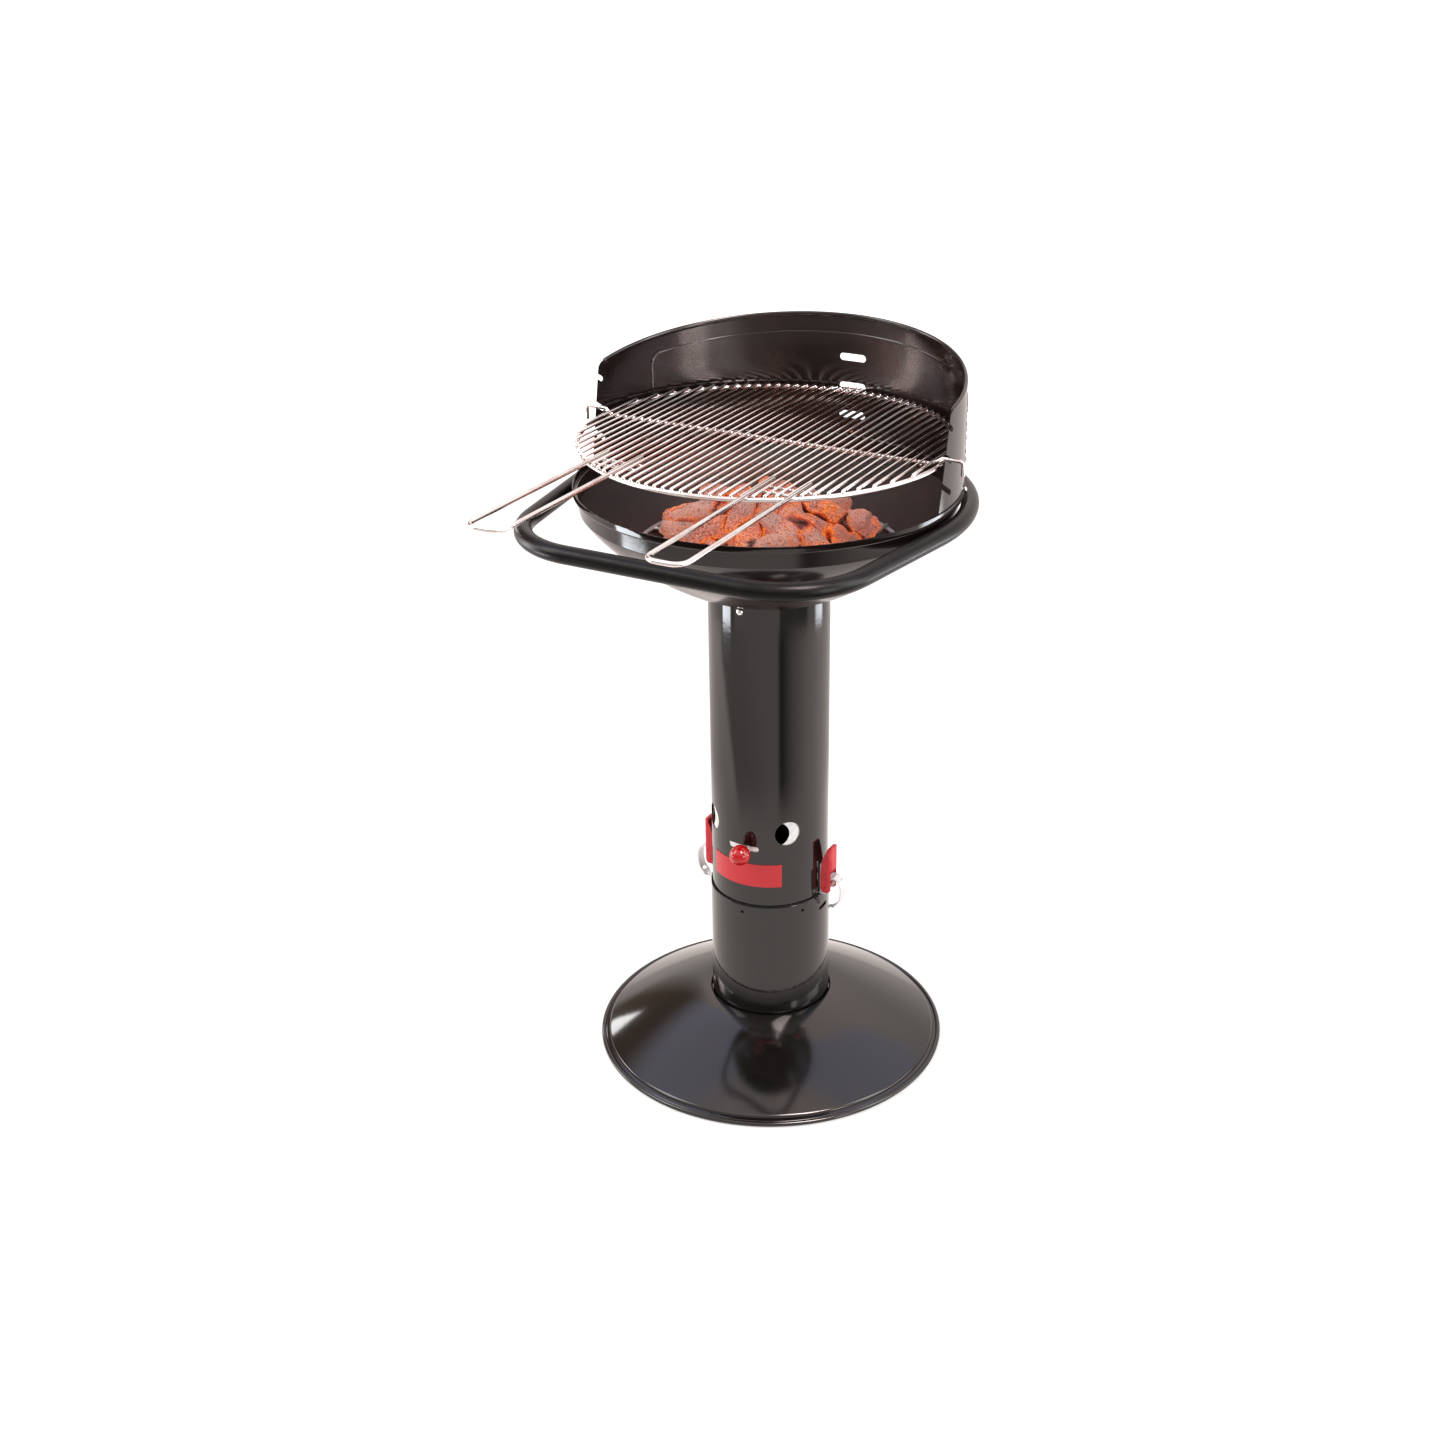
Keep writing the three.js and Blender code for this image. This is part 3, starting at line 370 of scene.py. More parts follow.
# shapes are drawn in millimetres
class Shape:
    def __init__(self):
        self.points = []
        self.faces = []

    def add(self, points, faces):
        start = len(self.points)
        self.points += [Vector(point) for point in points]
        self.faces += [[start + i for i in face] for face in faces]
        return self

    def turned(self, angle):
        turn = Matrix.Rotation(angle, 3, "Z")
        self.points = [turn @ point for point in self.points]
        return self

    def moved(self, by):
        self.points = [point + Vector(by) for point in self.points]
        return self

    def plus(self, other):
        return self.add(other.points, other.faces)


def newObject(name, data):
    made = bpy.data.objects.new(name, data)
    bpy.context.scene.collection.objects.link(made)
    return made


def meshOf(name, shape):
    data = bpy.data.meshes.new(name)
    data.from_pydata([point * mm for point in shape.points], [], shape.faces)
    data.validate()
    edit = bmesh.new()
    edit.from_mesh(data)
    bmesh.ops.remove_doubles(edit, verts=edit.verts, dist=1e-6)
    bmesh.ops.recalc_face_normals(edit, faces=edit.faces)
    edit.to_mesh(data)
    edit.free()
    return data


# cutters that don't touch each other are taken off in one go
def carve(piece, cutter):
    tool = newObject("cutter", meshOf("cutter", cutter))
    cut = piece.modifiers.new("cut", "BOOLEAN")
    cut.operation = "DIFFERENCE"
    cut.solver = "EXACT"
    cut.object = tool
    depsgraph = bpy.context.evaluated_depsgraph_get()
    fresh = bpy.data.meshes.new_from_object(piece.evaluated_get(depsgraph))
    piece.modifiers.clear()
    piece.data = fresh
    bpy.data.objects.remove(tool)


def coat(data, look, sharp):
    data.materials.clear()
    data.materials.append(finish[look])
    data.shade_smooth()
    data.set_sharp_from_angle(angle=math.radians(sharp))


def makePiece(name, shape, look, body, replaced=(), cutters=(), sharp=38):
    piece = newObject(name, meshOf(name, shape))
    for cutter in cutters:
        carve(piece, cutter)
    piece.data.name = name
    coat(piece.data, look, sharp)
    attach(piece, body)
    if replaced:
        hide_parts(*replaced)
    return piece


def evenSteps(low, high, step):
    count = max(1, round((high - low) / step))
    return [low + (high - low) * i / count for i in range(count + 1)]


# even steps over one span after another
def spanSteps(spans):
    return [value for span in spans for value in evenSteps(*span)]


def arc(centre, radius, start, end, steps):
    turns = [math.radians(start + (end - start) * i / steps) for i in range(steps + 1)]
    return [(centre[0] + radius * math.cos(t), centre[1] + radius * math.sin(t)) for t in turns]


# a level circle of points about the axis, or about a middle that lies off it
def circle(radius, height, sides, middle=0):
    return [(x, y, height) for x, y in arc((0, middle), radius, 0, 360, sides)[:-1]]


# an outline with straight sides and round ends
def oval(wide, tall, steps, height=0):
    reach = (wide - tall) / 2
    return arc((reach, height), tall / 2, -90, 90, steps) + arc((-reach, height), tall / 2, 90, 270, steps)


# a line and its mirror image, from one side to the other
def mirrored(half):
    return half + [(-across, along) for across, along in half[::-1]]


# corners of a flat or spatial line rounded to a bend radius
def rounded(points, bend, steps):
    line = [Vector(point) for point in points]
    smooth = [line[0]]
    for before, corner, after in zip(line, line[1:], line[2:]):
        back = (before - corner).normalized()
        ahead = (after - corner).normalized()
        half = math.acos(max(-1, min(1, back.dot(ahead)))) / 2
        run = min(bend / math.tan(half), (before - corner).length * 0.49, (after - corner).length * 0.49)
        for i in range(steps + 1):
            t = i / steps
            enter = corner + back * run * (1 - t)
            leave = corner + ahead * run * t
            smooth.append(enter.lerp(leave, t))
    return smooth + [line[-1]]


# both faces of a sheet that follows a centre line
def sheetLoop(path, thickness):
    line = [Vector(point) for point in path]
    one = []
    other = []
    for i, point in enumerate(line):
        before = line[max(i - 1, 0)]
        after = line[min(i + 1, len(line) - 1)]
        along = (after - before).normalized()
        across = Vector((-along.y, along.x)) * thickness / 2
        one.append(point + across)
        other.append(point - across)
    return one + other[::-1]


# the faces between two rings of points, by where each ring starts
def ringFaces(one, other, count):
    return [[one + i, one + (i + 1) % count, other + (i + 1) % count, other + i] for i in range(count)]


# a solid between two like outlines
def prism(near, far):
    count = len(near)
    ends = [list(range(count)), list(range(2 * count - 1, count - 1, -1))]
    return Shape().add(near + far, ends + ringFaces(0, count, count))


# a thin solid between two like grids of points, listed row by row
def slab(front, back, columns):
    count = len(front)
    last = count - columns
    faces = []
    for base in (0, count):
        for row in range(base, base + last, columns):
            faces += [[a, a + 1, a + columns + 1, a + columns] for a in range(row, row + columns - 1)]
    rim = list(range(columns - 1)) + list(range(columns - 1, count - 1, columns))
    rim += list(range(count - 1, last, -1)) + list(range(last, 0, -columns))
    faces += [[a, b, count + b, count + a] for a, b in zip(rim, rim[1:] + rim[:1])]
    return Shape().add(front + back, faces)


# an outline turned about the axis; one that isn't closed starts and ends on the axis
def spun(outline, segments, closed=True):
    count = len(outline)
    points = []
    faces = []
    for k in range(segments):
        turn = math.tau * k / segments
        points += [(x * math.sin(turn), -x * math.cos(turn), z) for x, z in outline]
        faces += ringFaces(k * count, (k + 1) % segments * count, count)[:count if closed else -1]
    return Shape().add(points, faces)


# a tube's end station, as point, direction, side and share of the radius, moved out over its dome
def domeStation(station, radius, turn):
    point, tangent, side, size = station
    return point + tangent * radius * math.sin(turn), tangent, side, max(math.cos(turn), 0.02)


# a round wire along a line, with domed ends
def tube(points, radius, sides, closed=False, flat=1):
    line = [Vector(point).to_3d() for point in points]
    count = len(line)
    tangents = []
    for i in range(count):
        before = line[i - 1] if closed or i else line[i]
        after = line[(i + 1) % count] if closed or i < count - 1 else line[i]
        tangents.append((after - before).normalized())
    start = Vector((0, 0, 1)) if abs(tangents[0].z) < 0.9 else Vector((1, 0, 0))
    side = (start - tangents[0] * start.dot(tangents[0])).normalized()
    stations = []
    for point, tangent in zip(line, tangents):
        side = (side - tangent * side.dot(tangent)).normalized()
        stations.append((point, tangent, side, 1))
    if not closed:
        dome = (0.6, 1.1, 1.5)      # turns from the wire's full width to its tip
        head = [domeStation(stations[0], -radius, turn) for turn in dome[::-1]]
        tail = [domeStation(stations[-1], radius, turn) for turn in dome]
        stations = head + stations + tail
    rings = []
    for point, tangent, across, size in stations:
        up = tangent.cross(across)
        for k in range(sides):
            turn = math.tau * (k + 0.5) / sides
            rings.append(point + (across * math.cos(turn) * flat + up * math.sin(turn)) * radius * size)
    faces = []
    total = len(stations)
    for i in range(total if closed else total - 1):
        faces += ringFaces(i * sides, (i + 1) % total * sides, sides)
    if not closed:
        faces.append(list(range(sides))[::-1])
        faces.append([(total - 1) * sides + k for k in range(sides)])
    return Shape().add(rings, faces)


# a plate drawn from the side, in x and z, and as wide as the two values of y
def plate(outline, low, high):
    near, far = [[(x, y, z) for x, z in outline] for y in (low, high)]
    return prism(near, far)


# a rod that points out from the axis, at a turn in degrees from the front
def radialRod(angle, height, inner, outer, radius, sides):
    turn = math.radians(angle)
    outward = Vector((math.sin(turn), -math.cos(turn), 0))
    across = Vector((math.cos(turn), math.sin(turn), 0))
    rim = arc((0, height), radius, 0, 360, sides)[:-1]
    near, far = [[outward * out + across * x + Vector((0, 0, z)) for x, z in rim] for out in (inner, outer)]
    return prism(near, far)


def block(low, high):
    corners = [(x, y, z) for x in (low[0], high[0]) for y in (low[1], high[1]) for z in (low[2], high[2])]
    faces = [[0, 1, 3, 2], [4, 6, 7, 5], [0, 4, 5, 1], [2, 3, 7, 6], [0, 2, 6, 4], [1, 5, 7, 3]]
    return Shape().add(corners, faces)


# where the bars of a round grid lie, and half their lengths
def barPlaces(part, short=0):
    places = [i * part["pitch"] for i in range(-part["barsEachSide"], part["barsEachSide"] + 1)]
    return [(x, math.sqrt(part["radius"] ** 2 - x ** 2) - short) for x in places]


# base dish with its rolled rim
dish = {
    "radius": 243.5,
    "sheet": 1.6,
    "roll": 2.9,
    "foot": (237.4, 240.4),
    "seam": [(238.8, 6.2), (237.9, 5.2), (237.2, 4.7), (236.7, 5), (236.4, 5.3), (235.8, 5.6)],
    "flange": [(234.4, 6.2), (232.5, 6.9), (232.1, 7.2), (231.9, 8), (231.6, 9)],
    "domeStart": (236.2, 7.4),
    "domeEnd": (86.2, 72.7),
    "domeSteps": 60,
    "flangeSteps": 4,      # the first steps of the dome, which the flange takes up
    "closing": 1.25,       # the steps come closer together towards the flange
    "rise": 1.35,
    "collarRadius": 83.6,
    "collar": (64, 56, 47.5),
}


def baseDish():
    half = dish["sheet"] / 2
    roll = dish["roll"]
    path = [(out, half) for out in dish["foot"]]
    path += arc((dish["radius"] - half - roll, half + roll), roll, -80, 85, 10)
    path += dish["seam"] + dish["flange"]
    startOut, startHigh = dish["domeStart"]
    endOut, endHigh = dish["domeEnd"]
    for i in range(dish["flangeSteps"], dish["domeSteps"] + 1):
        share = (i / dish["domeSteps"]) ** dish["closing"]
        rise = 1 - (1 - share) ** dish["rise"]
        path.append((startOut + (endOut - startOut) * share, startHigh + (endHigh - startHigh) * rise))
    shoulder = endOut - dish["collarRadius"]
    path += arc((endOut, endHigh - shoulder), shoulder, 100, 180, 6)
    path += [(dish["collarRadius"], z) for z in dish["collar"]]
    makePiece("baseDish", spun(sheetLoop(path, dish["sheet"]), 200), "dish", "stand", ["base_dish"])


baseDish()

# ash pot, the lower tube
pot = {
    "radius": 82.2,
    "sheet": 1.2,
    "bend": 2,
    "floorRing": 40,
    "top": 244,
    "holes": 6,
    "holeRadius": 2.2,
    "holeHeight": 233,
    "slitHeight": 222.5,
    "slitWidth": 21.5,
    "slitTall": 6.2,
}


def ashPot():
    outer = pot["radius"]
    inner = outer - pot["sheet"]
    bend = pot["bend"]
    top = pot["top"]
    levels = [bend] + evenSteps(30, 180, 30) + [205] + evenSteps(214, 242, 2)      # closer near the holes
    outline = [(0, 0), (pot["floorRing"], 0), (inner - 1, 0)]
    outline += arc((outer - bend, bend), bend, -90, 0, 5)[1:-1]
    outline += [(outer, z) for z in levels] + [(outer, top - 0.6), (outer - 0.4, top)]
    outline += [(inner + 0.3, top), (inner, top - 0.5)] + [(inner, z) for z in levels[::-1]]
    outline += [(x, pot["sheet"]) for x in (inner - bend, pot["floorRing"], 0)]
    holes = Shape()
    for i in range(pot["holes"]):
        turn = 360 / pot["holes"] * i
        holes.plus(radialRod(turn, pot["holeHeight"], inner - past, outer + past, pot["holeRadius"], 20))
    reach = outer + past
    wide = pot["slitWidth"] / 2
    tall = pot["slitTall"] / 2
    slits = block((-reach, -wide, pot["slitHeight"] - tall), (reach, wide, pot["slitHeight"] + tall))
    makePiece("ashPot", spun(outline, 144), "enamel", "stand", ["ash_pot"], [holes, slits])


ashPot()

# black ring in the joint of pot and column: painted shadow in the gap between them
shadeRing = {"inner": 80.15, "outer": 82, "low": 243.2, "high": 245.7, "bulge": 0.2, "edge": 0.5}


def jointShadeRing():
    inner, outer, low, high = [shadeRing[part] for part in ("inner", "outer", "low", "high")]
    outline = [(inner, low), ((inner + outer) / 2, low - shadeRing["bulge"]), (outer, low)]
    outline += [(outer, high - shadeRing["edge"]), (outer - shadeRing["edge"], high), (inner, high)]
    makePiece("jointShadeRing", spun(outline, 144), "shadeBlack", "stand")


jointShadeRing()

# column, the upper tube, with its air holes and the slot of the damper
column = {
    "radius": 80,
    "sheet": 1.2,
    "bottom": 215.3,
    "top": 679.7,
    "holes": 4,
    "firstHole": 45,
    "holeRadius": 17.6,
    "holeHeight": 355,
    "slotHalfAngle": 16.5,
    "slotTall": 8.4,
    "slotHeight": 331.5,
}


# the curved slot with its round ends, whose rim is drawn as turns and heights
def slotCutter(inner, outer, steps=16):
    half = column["slotTall"] / 2
    end = math.radians(column["slotHalfAngle"]) - half / outer
    edge = [(-end + 2 * end * i / steps, half) for i in range(1, steps)]
    edge += [(end + x / column["radius"], z) for x, z in arc((0, 0), half, 90, -90, 10)]
    rim = edge + [(-turn, -z) for turn, z in edge]
    rings = []
    for out in (inner, outer):
        rings.append([(out * math.sin(t), -out * math.cos(t), column["slotHeight"] + z) for t, z in rim])
    return prism(*rings)


# the air holes of the column and of the damper inside it
def airHoles(inner, outer, shift, sides):
    holes = Shape()
    height, radius = column["holeHeight"], column["holeRadius"]
    for i in range(column["holes"]):
        turn = column["firstHole"] + shift + 360 / column["holes"] * i
        holes.plus(radialRod(turn, height, inner - past, outer + past, radius, sides))
    return holes


def columnTube():
    outer = column["radius"]
    inner = outer - column["sheet"]
    levels = [column["bottom"], 240, 280] + evenSteps(316, 384, 4)      # closer near the holes
    levels += evenSteps(410, 670, 26)
    outline = [(outer, z) for z in levels + [column["top"]]]
    outline += [(inner, z) for z in [column["top"]] + levels[::-1]]
    cutters = [airHoles(inner, outer, 0, 72), slotCutter(inner - past, outer + past)]
    makePiece("columnTube", spun(outline, 160), "enamel", "column", ["column_tube"], cutters)


columnTube()

# the plain plate on the front of the column
plateSize = {"halfAngle": 38.9, "low": 275, "high": 309, "inner": 80.05, "outer": 80.6}


def barePlate():
    rows = evenSteps(plateSize["low"], plateSize["high"], 4)
    turns = [math.radians(turn) for turn in evenSteps(-plateSize["halfAngle"], plateSize["halfAngle"], 1.5)]
    layers = []
    for out in (plateSize["outer"], plateSize["inner"]):
        layers.append([(out * math.sin(turn), -out * math.cos(turn), z) for turn in turns for z in rows])
    makePiece("barePlate", slab(*layers, len(rows)), "plate", "column")


barePlate()
print("base, pot and column made")

# air damper ring behind the column wall, and its knob
damper = {
    "radius": 78.5,
    "sheet": 1,
    "low": 320,
    "high": 380,
    "shift": -15,      # its holes lie this far from the column's, in degrees
    "rest": 4,
    "split": 12,
    "knobRadius": 14,
    "knobCentre": 100,
    "screwRadius": 3.4,
    "screw": (76, 90),
    "screwHead": (75.2, 76.8),
}


def damperPieces():
    outer = damper["radius"]
    inner = outer - damper["sheet"]
    turned = math.radians(damper["rest"])
    levels = evenSteps(damper["low"], damper["high"], 4)
    outline = [(outer, z) for z in levels] + [(inner, z) for z in levels[::-1]]
    holes = airHoles(inner, outer, damper["shift"] + damper["rest"], 64)
    half = damper["split"] / 2
    gap = block((-half, inner - past, damper["low"] - past), (half, outer + past, damper["high"] + past))
    gap.turned(turned)
    makePiece("damperRing", spun(outline, 144), "zinc", "damper", ["damper_ring"], [holes, gap])
    knob = spun(arc((0, 0), damper["knobRadius"], -90, 90, 32), 48, closed=False)
    knob.moved((0, -damper["knobCentre"], column["slotHeight"])).turned(turned)
    makePiece("damperKnob", knob, "knob", "damper", ["damper_knob"])
    radius = damper["screwRadius"]
    screw = radialRod(damper["rest"], column["slotHeight"], *damper["screw"], radius, 24)
    screw.plus(radialRod(damper["rest"], column["slotHeight"], *damper["screwHead"], 2 * radius, 6))
    makePiece("damperScrew", screw, "zinc", "damper", ["damper_screw"])


damperPieces()

# fire bowl
bowl = {
    "sheet": 1.4,
    "collar": [(77.8, 655.7), (77.8, 668), (77.8, 678.6), (78.6, 680.3)],
    "throat": (80, 680.7),
    "crease": (240, 795),
    "nearShares": (0.34, 0.12),
    "farShares": (0.825, 0.63),
    "wallRadius": 241.5,
    "shelf": 816,
    "rimRadius": 248.1,
    "top": 825,
    "lip": 0.4,
    "bend": 2.2,
}


def bowlCurve(steps):
    throat = Vector(bowl["throat"])
    crease = Vector(bowl["crease"])
    span = crease - throat
    near = throat + span * Vector(bowl["nearShares"])
    far = throat + span * Vector(bowl["farShares"])
    points = []
    for i in range(steps + 1):
        t = i / steps
        weights = ((1 - t) ** 3, 3 * t * (1 - t) ** 2, 3 * t * t * (1 - t), t ** 3)
        points.append(throat * weights[0] + near * weights[1] + far * weights[2] + crease * weights[3])
    return points


def fireBowl():
    rim = bowl["rimRadius"] - bowl["sheet"] / 2
    shelf = bowl["shelf"]
    top = bowl["top"] - bowl["lip"]
    curve = bowlCurve(40)
    corners = [curve[-3], curve[-1], (bowl["wallRadius"], shelf), (rim, shelf), (rim, top)]
    path = bowl["collar"] + curve[:-2] + rounded(corners, bowl["bend"], 5)[1:]
    makePiece("fireBowl", spun(sheetLoop(path, bowl["sheet"]), 192), "soot", "column", ["fire_bowl"])


fireBowl()

# windscreen: a bent sheet with a rolled top, slanted notches and slots, and a pressed line
screen = {
    "radius": 246.4,
    "sheet": 1,
    "foot": 817,
    "back": 982.8,
    "tilt": 0.14,
    "earY": -3.8,
    "earDrop": 7,
    "lean": 0.2068,
    "rollTall": 6.6,
    "rollDeep": 4.6,
    "rollOut": 0.3,
    "rollEnd": 88,
    "notchAngle": 31.5,
    "notchWide": 6.6,
    "notchInner": 2.8,
    "notchMiddle": 883.5,
    "notchLong": 60,      # how far forwards a notch's cutter reaches
    "notchDeep": 15,      # and how far to each side of its middle
    "notchIn": 2,      # which lies this far inside the sheet's face
    "pitch": 39.5,
    "slotWide": 38.5,
    "slotTall": 10,
    "slotMiddle": 883.4,
    "lineDrop": 26,
    "lineTurn": 113,
    "lineDeep": 1.3,
    "lineWide": 1.15,
    "lineCorner": 16,
    "topRows": (22, 4),      # the last of the first rows of points below the roll, and their step
    "rows": [(23, 29, 0.75), (30, 44, 1.2), (47, 124, 3.5)],      # first, last and step, closest at the line
    "columns": [(0, 0.66, 0.012), (0.663, 0.775, 0.0032), (0.785, 1, 0.012)],      # shares of the half turn
}


def screenTop(y):
    return screen["back"] + screen["tilt"] * (y - screen["radius"])


# how far a point of the sheet is from the pressed line, measured on the sheet
def lineGap(turn, drop):
    limit = math.radians(180 - screen["lineTurn"]) * screen["radius"]
    side = limit - abs(turn) * screen["radius"]
    down = drop - screen["lineDrop"]
    corner = screen["lineCorner"]
    if side < corner and down < corner:
        return math.hypot(corner - side, corner - down) - corner
    return min(abs(side), abs(down)) if side > 0 and down > 0 else math.inf


# the turn of the front edge, which has a round ear at the top and runs forwards from it to the foot
def edgeTurn(drop, z):
    ear = screen["earDrop"]
    rollHalf = screen["rollTall"] / 2
    rise = max(ear + rollHalf - drop, 0)
    back = ear - math.sqrt(max(ear ** 2 - rise ** 2, 0))
    below = max(screenTop(screen["earY"]) - rollHalf - ear - z, 0)
    return math.acos((screen["earY"] + back - below * screen["lean"]) / screen["radius"])


# one face of the sheet, by rows that follow the top, and a last row along the foot
def sheetFace(radius, drops, shares):
    points = []
    for row in drops + [None]:
        drop = drops[-1] if row is None else row
        front = screen["foot"] if row is None else screenTop(screen["earY"]) - drop
        end = edgeTurn(drop, front)
        for share in shares:
            turn = share * end
            gap = math.inf if row is None else lineGap(turn, drop)
            out = radius + screen["lineDeep"] * math.exp(-(gap / screen["lineWide"]) ** 2)
            z = screen["foot"] if row is None else screenTop(screen["radius"] * math.cos(turn)) - drop
            points.append((out * math.sin(turn), out * math.cos(turn), z))
    return points


# three slanted notches at each front edge, and three slots at the back
def screenCutter():
    lean = math.radians(screen["notchAngle"])
    half = screen["notchWide"] / 2
    notch = [(-screen["notchLong"], -half), (-screen["notchLong"], half)] + arc((0, 0), half, 90, -90, 12)
    cutter = Shape()
    for level in (-1, 0, 1):
        height = screen["notchMiddle"] + level * screen["pitch"]
        for side in (-1, 1):
            cut = plate(notch, -screen["notchDeep"], screen["notchDeep"])
            cut.points = [Vector((
                side * (screen["radius"] - screen["notchIn"]) + p.y,
                screen["notchInner"] + p.x * math.cos(lean) + p.z * math.sin(lean),
                height - p.x * math.sin(lean) + p.z * math.cos(lean),
            )) for p in cut.points]
            cutter.plus(cut)
        height = screen["slotMiddle"] + level * screen["pitch"]
        slot = oval(screen["slotWide"], screen["slotTall"], 12, height)
        cutter.plus(plate(slot, screen["radius"] - past, screen["radius"] + past))
    return cutter


def windscreenSheet():
    radius = screen["radius"]
    drops = evenSteps(screen["rollTall"] / 2, *screen["topRows"])
    drops += spanSteps(screen["rows"])
    half = spanSteps(screen["columns"])
    shares = [-share for share in half[:0:-1]] + half
    faces = [sheetFace(out, drops, shares) for out in (radius, radius - screen["sheet"])]
    sheet = slab(*faces, len(shares))
    makePiece("windscreenSheet", sheet, "soot", "column", ["windscreen"], [screenCutter()])


def windscreenRoll():
    out = screen["radius"] - screen["rollDeep"] / 2 + screen["rollOut"]
    line = []
    for turn in evenSteps(-screen["rollEnd"], screen["rollEnd"], 1.5):
        y = out * math.cos(math.radians(turn))
        line.append((out * math.sin(math.radians(turn)), y, screenTop(y) - screen["rollTall"] / 2))
    roll = tube(line, screen["rollDeep"] / 2, 16, flat=screen["rollTall"] / screen["rollDeep"])
    makePiece("windscreenRoll", roll, "soot", "column")


windscreenSheet()
windscreenRoll()
print("bowl and windscreen made")

# handle loop
loop = {
    "tube": 11.5,
    "height": 801,
    "front": 294.5,
    "halfWidth": 228,
    "corner": 112,
    "backRadius": 254.9,
    "halfGap": 0.4 / 3,      # degrees between the tube's end and the middle of the back
}


def handleLoop():
    cornerX = loop["halfWidth"] - loop["corner"]
    cornerY = loop["corner"] - loop["front"]
    apart = math.acos((loop["backRadius"] - loop["corner"]) / math.hypot(cornerX, cornerY))
    lean = math.degrees(math.atan2(cornerY, cornerX) + apart)
    half = arc((0, 0), loop["backRadius"], 90 - loop["halfGap"], lean, 70)
    half += arc((cornerX, cornerY), loop["corner"], lean, -90, 40)
    line = [(x, y, loop["height"]) for x, y in mirrored(half)]
    makePiece("handleLoop", tube(line, loop["tube"], 28), "satin", "column", ["handle_loop"])


handleLoop()

# cooking grid
grid = {
    "radius": 236.8,
    "ring": 3,
    "height": 879.4,
    "centreY": -4.533,
    "pitch": 12,
    "barsEachSide": 19,
    "bar": 2.1,
    "sink": 0.4,      # how deep a bar sinks into the ring
    "barShort": 0.2,
    "weld": 1.5,
    "weldHalf": 1.2,
    "cross": 2.5,
    "crossDrop": 0.3,
    "crossHeight": 887.4,
    "crossBend": 5.5,
    "bendStart": 226,
    "bendEnd": 238,
    "hookReach": 265.5,
    "hookLeg": 17,
    "tongue": 2.2,
    "tongueRise": 1.6,
    "tongueBend": 1.6,
    "tongueInset": 6,
    "tongueRoot": 26,
    "tongueShoulder": (14.25, 245.4),
    "tongueTip": (12, 246.6),
}
grid["barHeight"] = grid["height"] + grid["ring"] + grid["bar"] - grid["sink"]
grips = {
    "wire": 3,
    "centre": 114,
    "half": 24,
    "tip": -456,
    "root": -158,
    "corner": 18,
    "lift": 0.3,
    "tie": 2,
    "tieRise": 1,
    "tieReach": 9,
    "insets": (16, 34),
}


def gridBars():
    centre = grid["centreY"]
    wires = tube(circle(grid["radius"], grid["height"], 160, centre), grid["ring"], 12, closed=True)
    for x, half in barPlaces(grid, grid["barShort"]):
        line = [(x, centre - half + 2 * half * k / 6, grid["barHeight"]) for k in range(7)]
        wires.plus(tube(line, grid["bar"], 10))
        z = grid["barHeight"] - grid["bar"]
        for y in (centre - half, centre + half):       # the weld where a bar meets the ring
            weld = [(x - grid["weldHalf"], y, z), (x + grid["weldHalf"], y, z)]
            wires.plus(tube(weld, grid["weld"], 8))
    return wires


# its ends lie in the notches and turn down outside the windscreen
def crossWire():
    reach = grid["hookReach"]
    high = grid["crossHeight"]
    low = grid["barHeight"] - grid["bar"] - grid["cross"] - grid["crossDrop"]
    half = [(reach, high - grid["hookLeg"]), (reach, high), (grid["bendEnd"], high), (grid["bendStart"], low)]
    line = [(p.x, grid["centreY"], p.y) for p in rounded(mirrored(half), grid["crossBend"], 7)]
    return tube(line, grid["cross"], 12)


def backTongue():
    back = grid["centreY"] + grid["radius"] - grid["tongueInset"]
    corners = mirrored([(grid["tongueRoot"], back), grid["tongueShoulder"], grid["tongueTip"]])
    height = grid["height"] + grid["tongueRise"]
    return tube([(p.x, p.y, height) for p in rounded(corners, grid["tongueBend"], 5)], grid["tongue"], 10)


# the short wires under the bars that carry the handles
def handleTies():
    ties = Shape()
    reach = grips["half"] + grips["tieReach"]
    height = grid["height"] + grips["tieRise"]
    for middle in (-grips["centre"], grips["centre"]):
        for inset in grips["insets"]:
            y = grips["root"] - inset
            ties.plus(tube([(middle - reach, y, height), (middle + reach, y, height)], grips["tie"], 10))
    return ties


def gridHandle(name, middle):
    left = middle - grips["half"]
    right = middle + grips["half"]
    corners = [(left, grips["root"]), (left, grips["tip"]), (right, grips["tip"]), (right, grips["root"])]
    height = grid["height"] + grid["ring"] + grips["lift"] + grips["wire"]
    line = [(p.x, p.y, height) for p in rounded(corners, grips["corner"], 12)]
    handle = tube(line, grips["wire"], 14)
    makePiece("gridHandle." + name, handle, "wire", "grid", ["grid_handle_" + name], sharp=60)


wires = gridBars().plus(crossWire()).plus(backTongue()).plus(handleTies())
makePiece("cookingGrid", wires, "wire", "grid", ["cooking_grid"], sharp=60)
gridHandle("right", grips["centre"])
gridHandle("left", -grips["centre"])

# charcoal grate and the heap on it
grate = {"radius": 171, "ring": 3, "bar": 2.5, "pitch": 26, "barsEachSide": 5}


def charcoalGrate():
    radius = grate["radius"]
    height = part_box("charcoal_grate")[0].z / mm + grate["ring"]
    wires = tube(circle(radius, height, 120), grate["ring"], 10, closed=True)
    level = height + grate["ring"] / 2 + grate["bar"]
    for x, half in barPlaces(grate):
        wires.plus(tube([(x, y, level) for y in (-half, 0, half)], grate["bar"], 10))
    tie = height - grate["ring"] / 2
    wires.plus(tube([(x, 0, tie) for x in (-radius, 0, radius)], grate["bar"], 10))
    makePiece("charcoalGrate", wires, "zinc", "ember_grate", ["charcoal_grate"], sharp=60)


charcoalGrate()

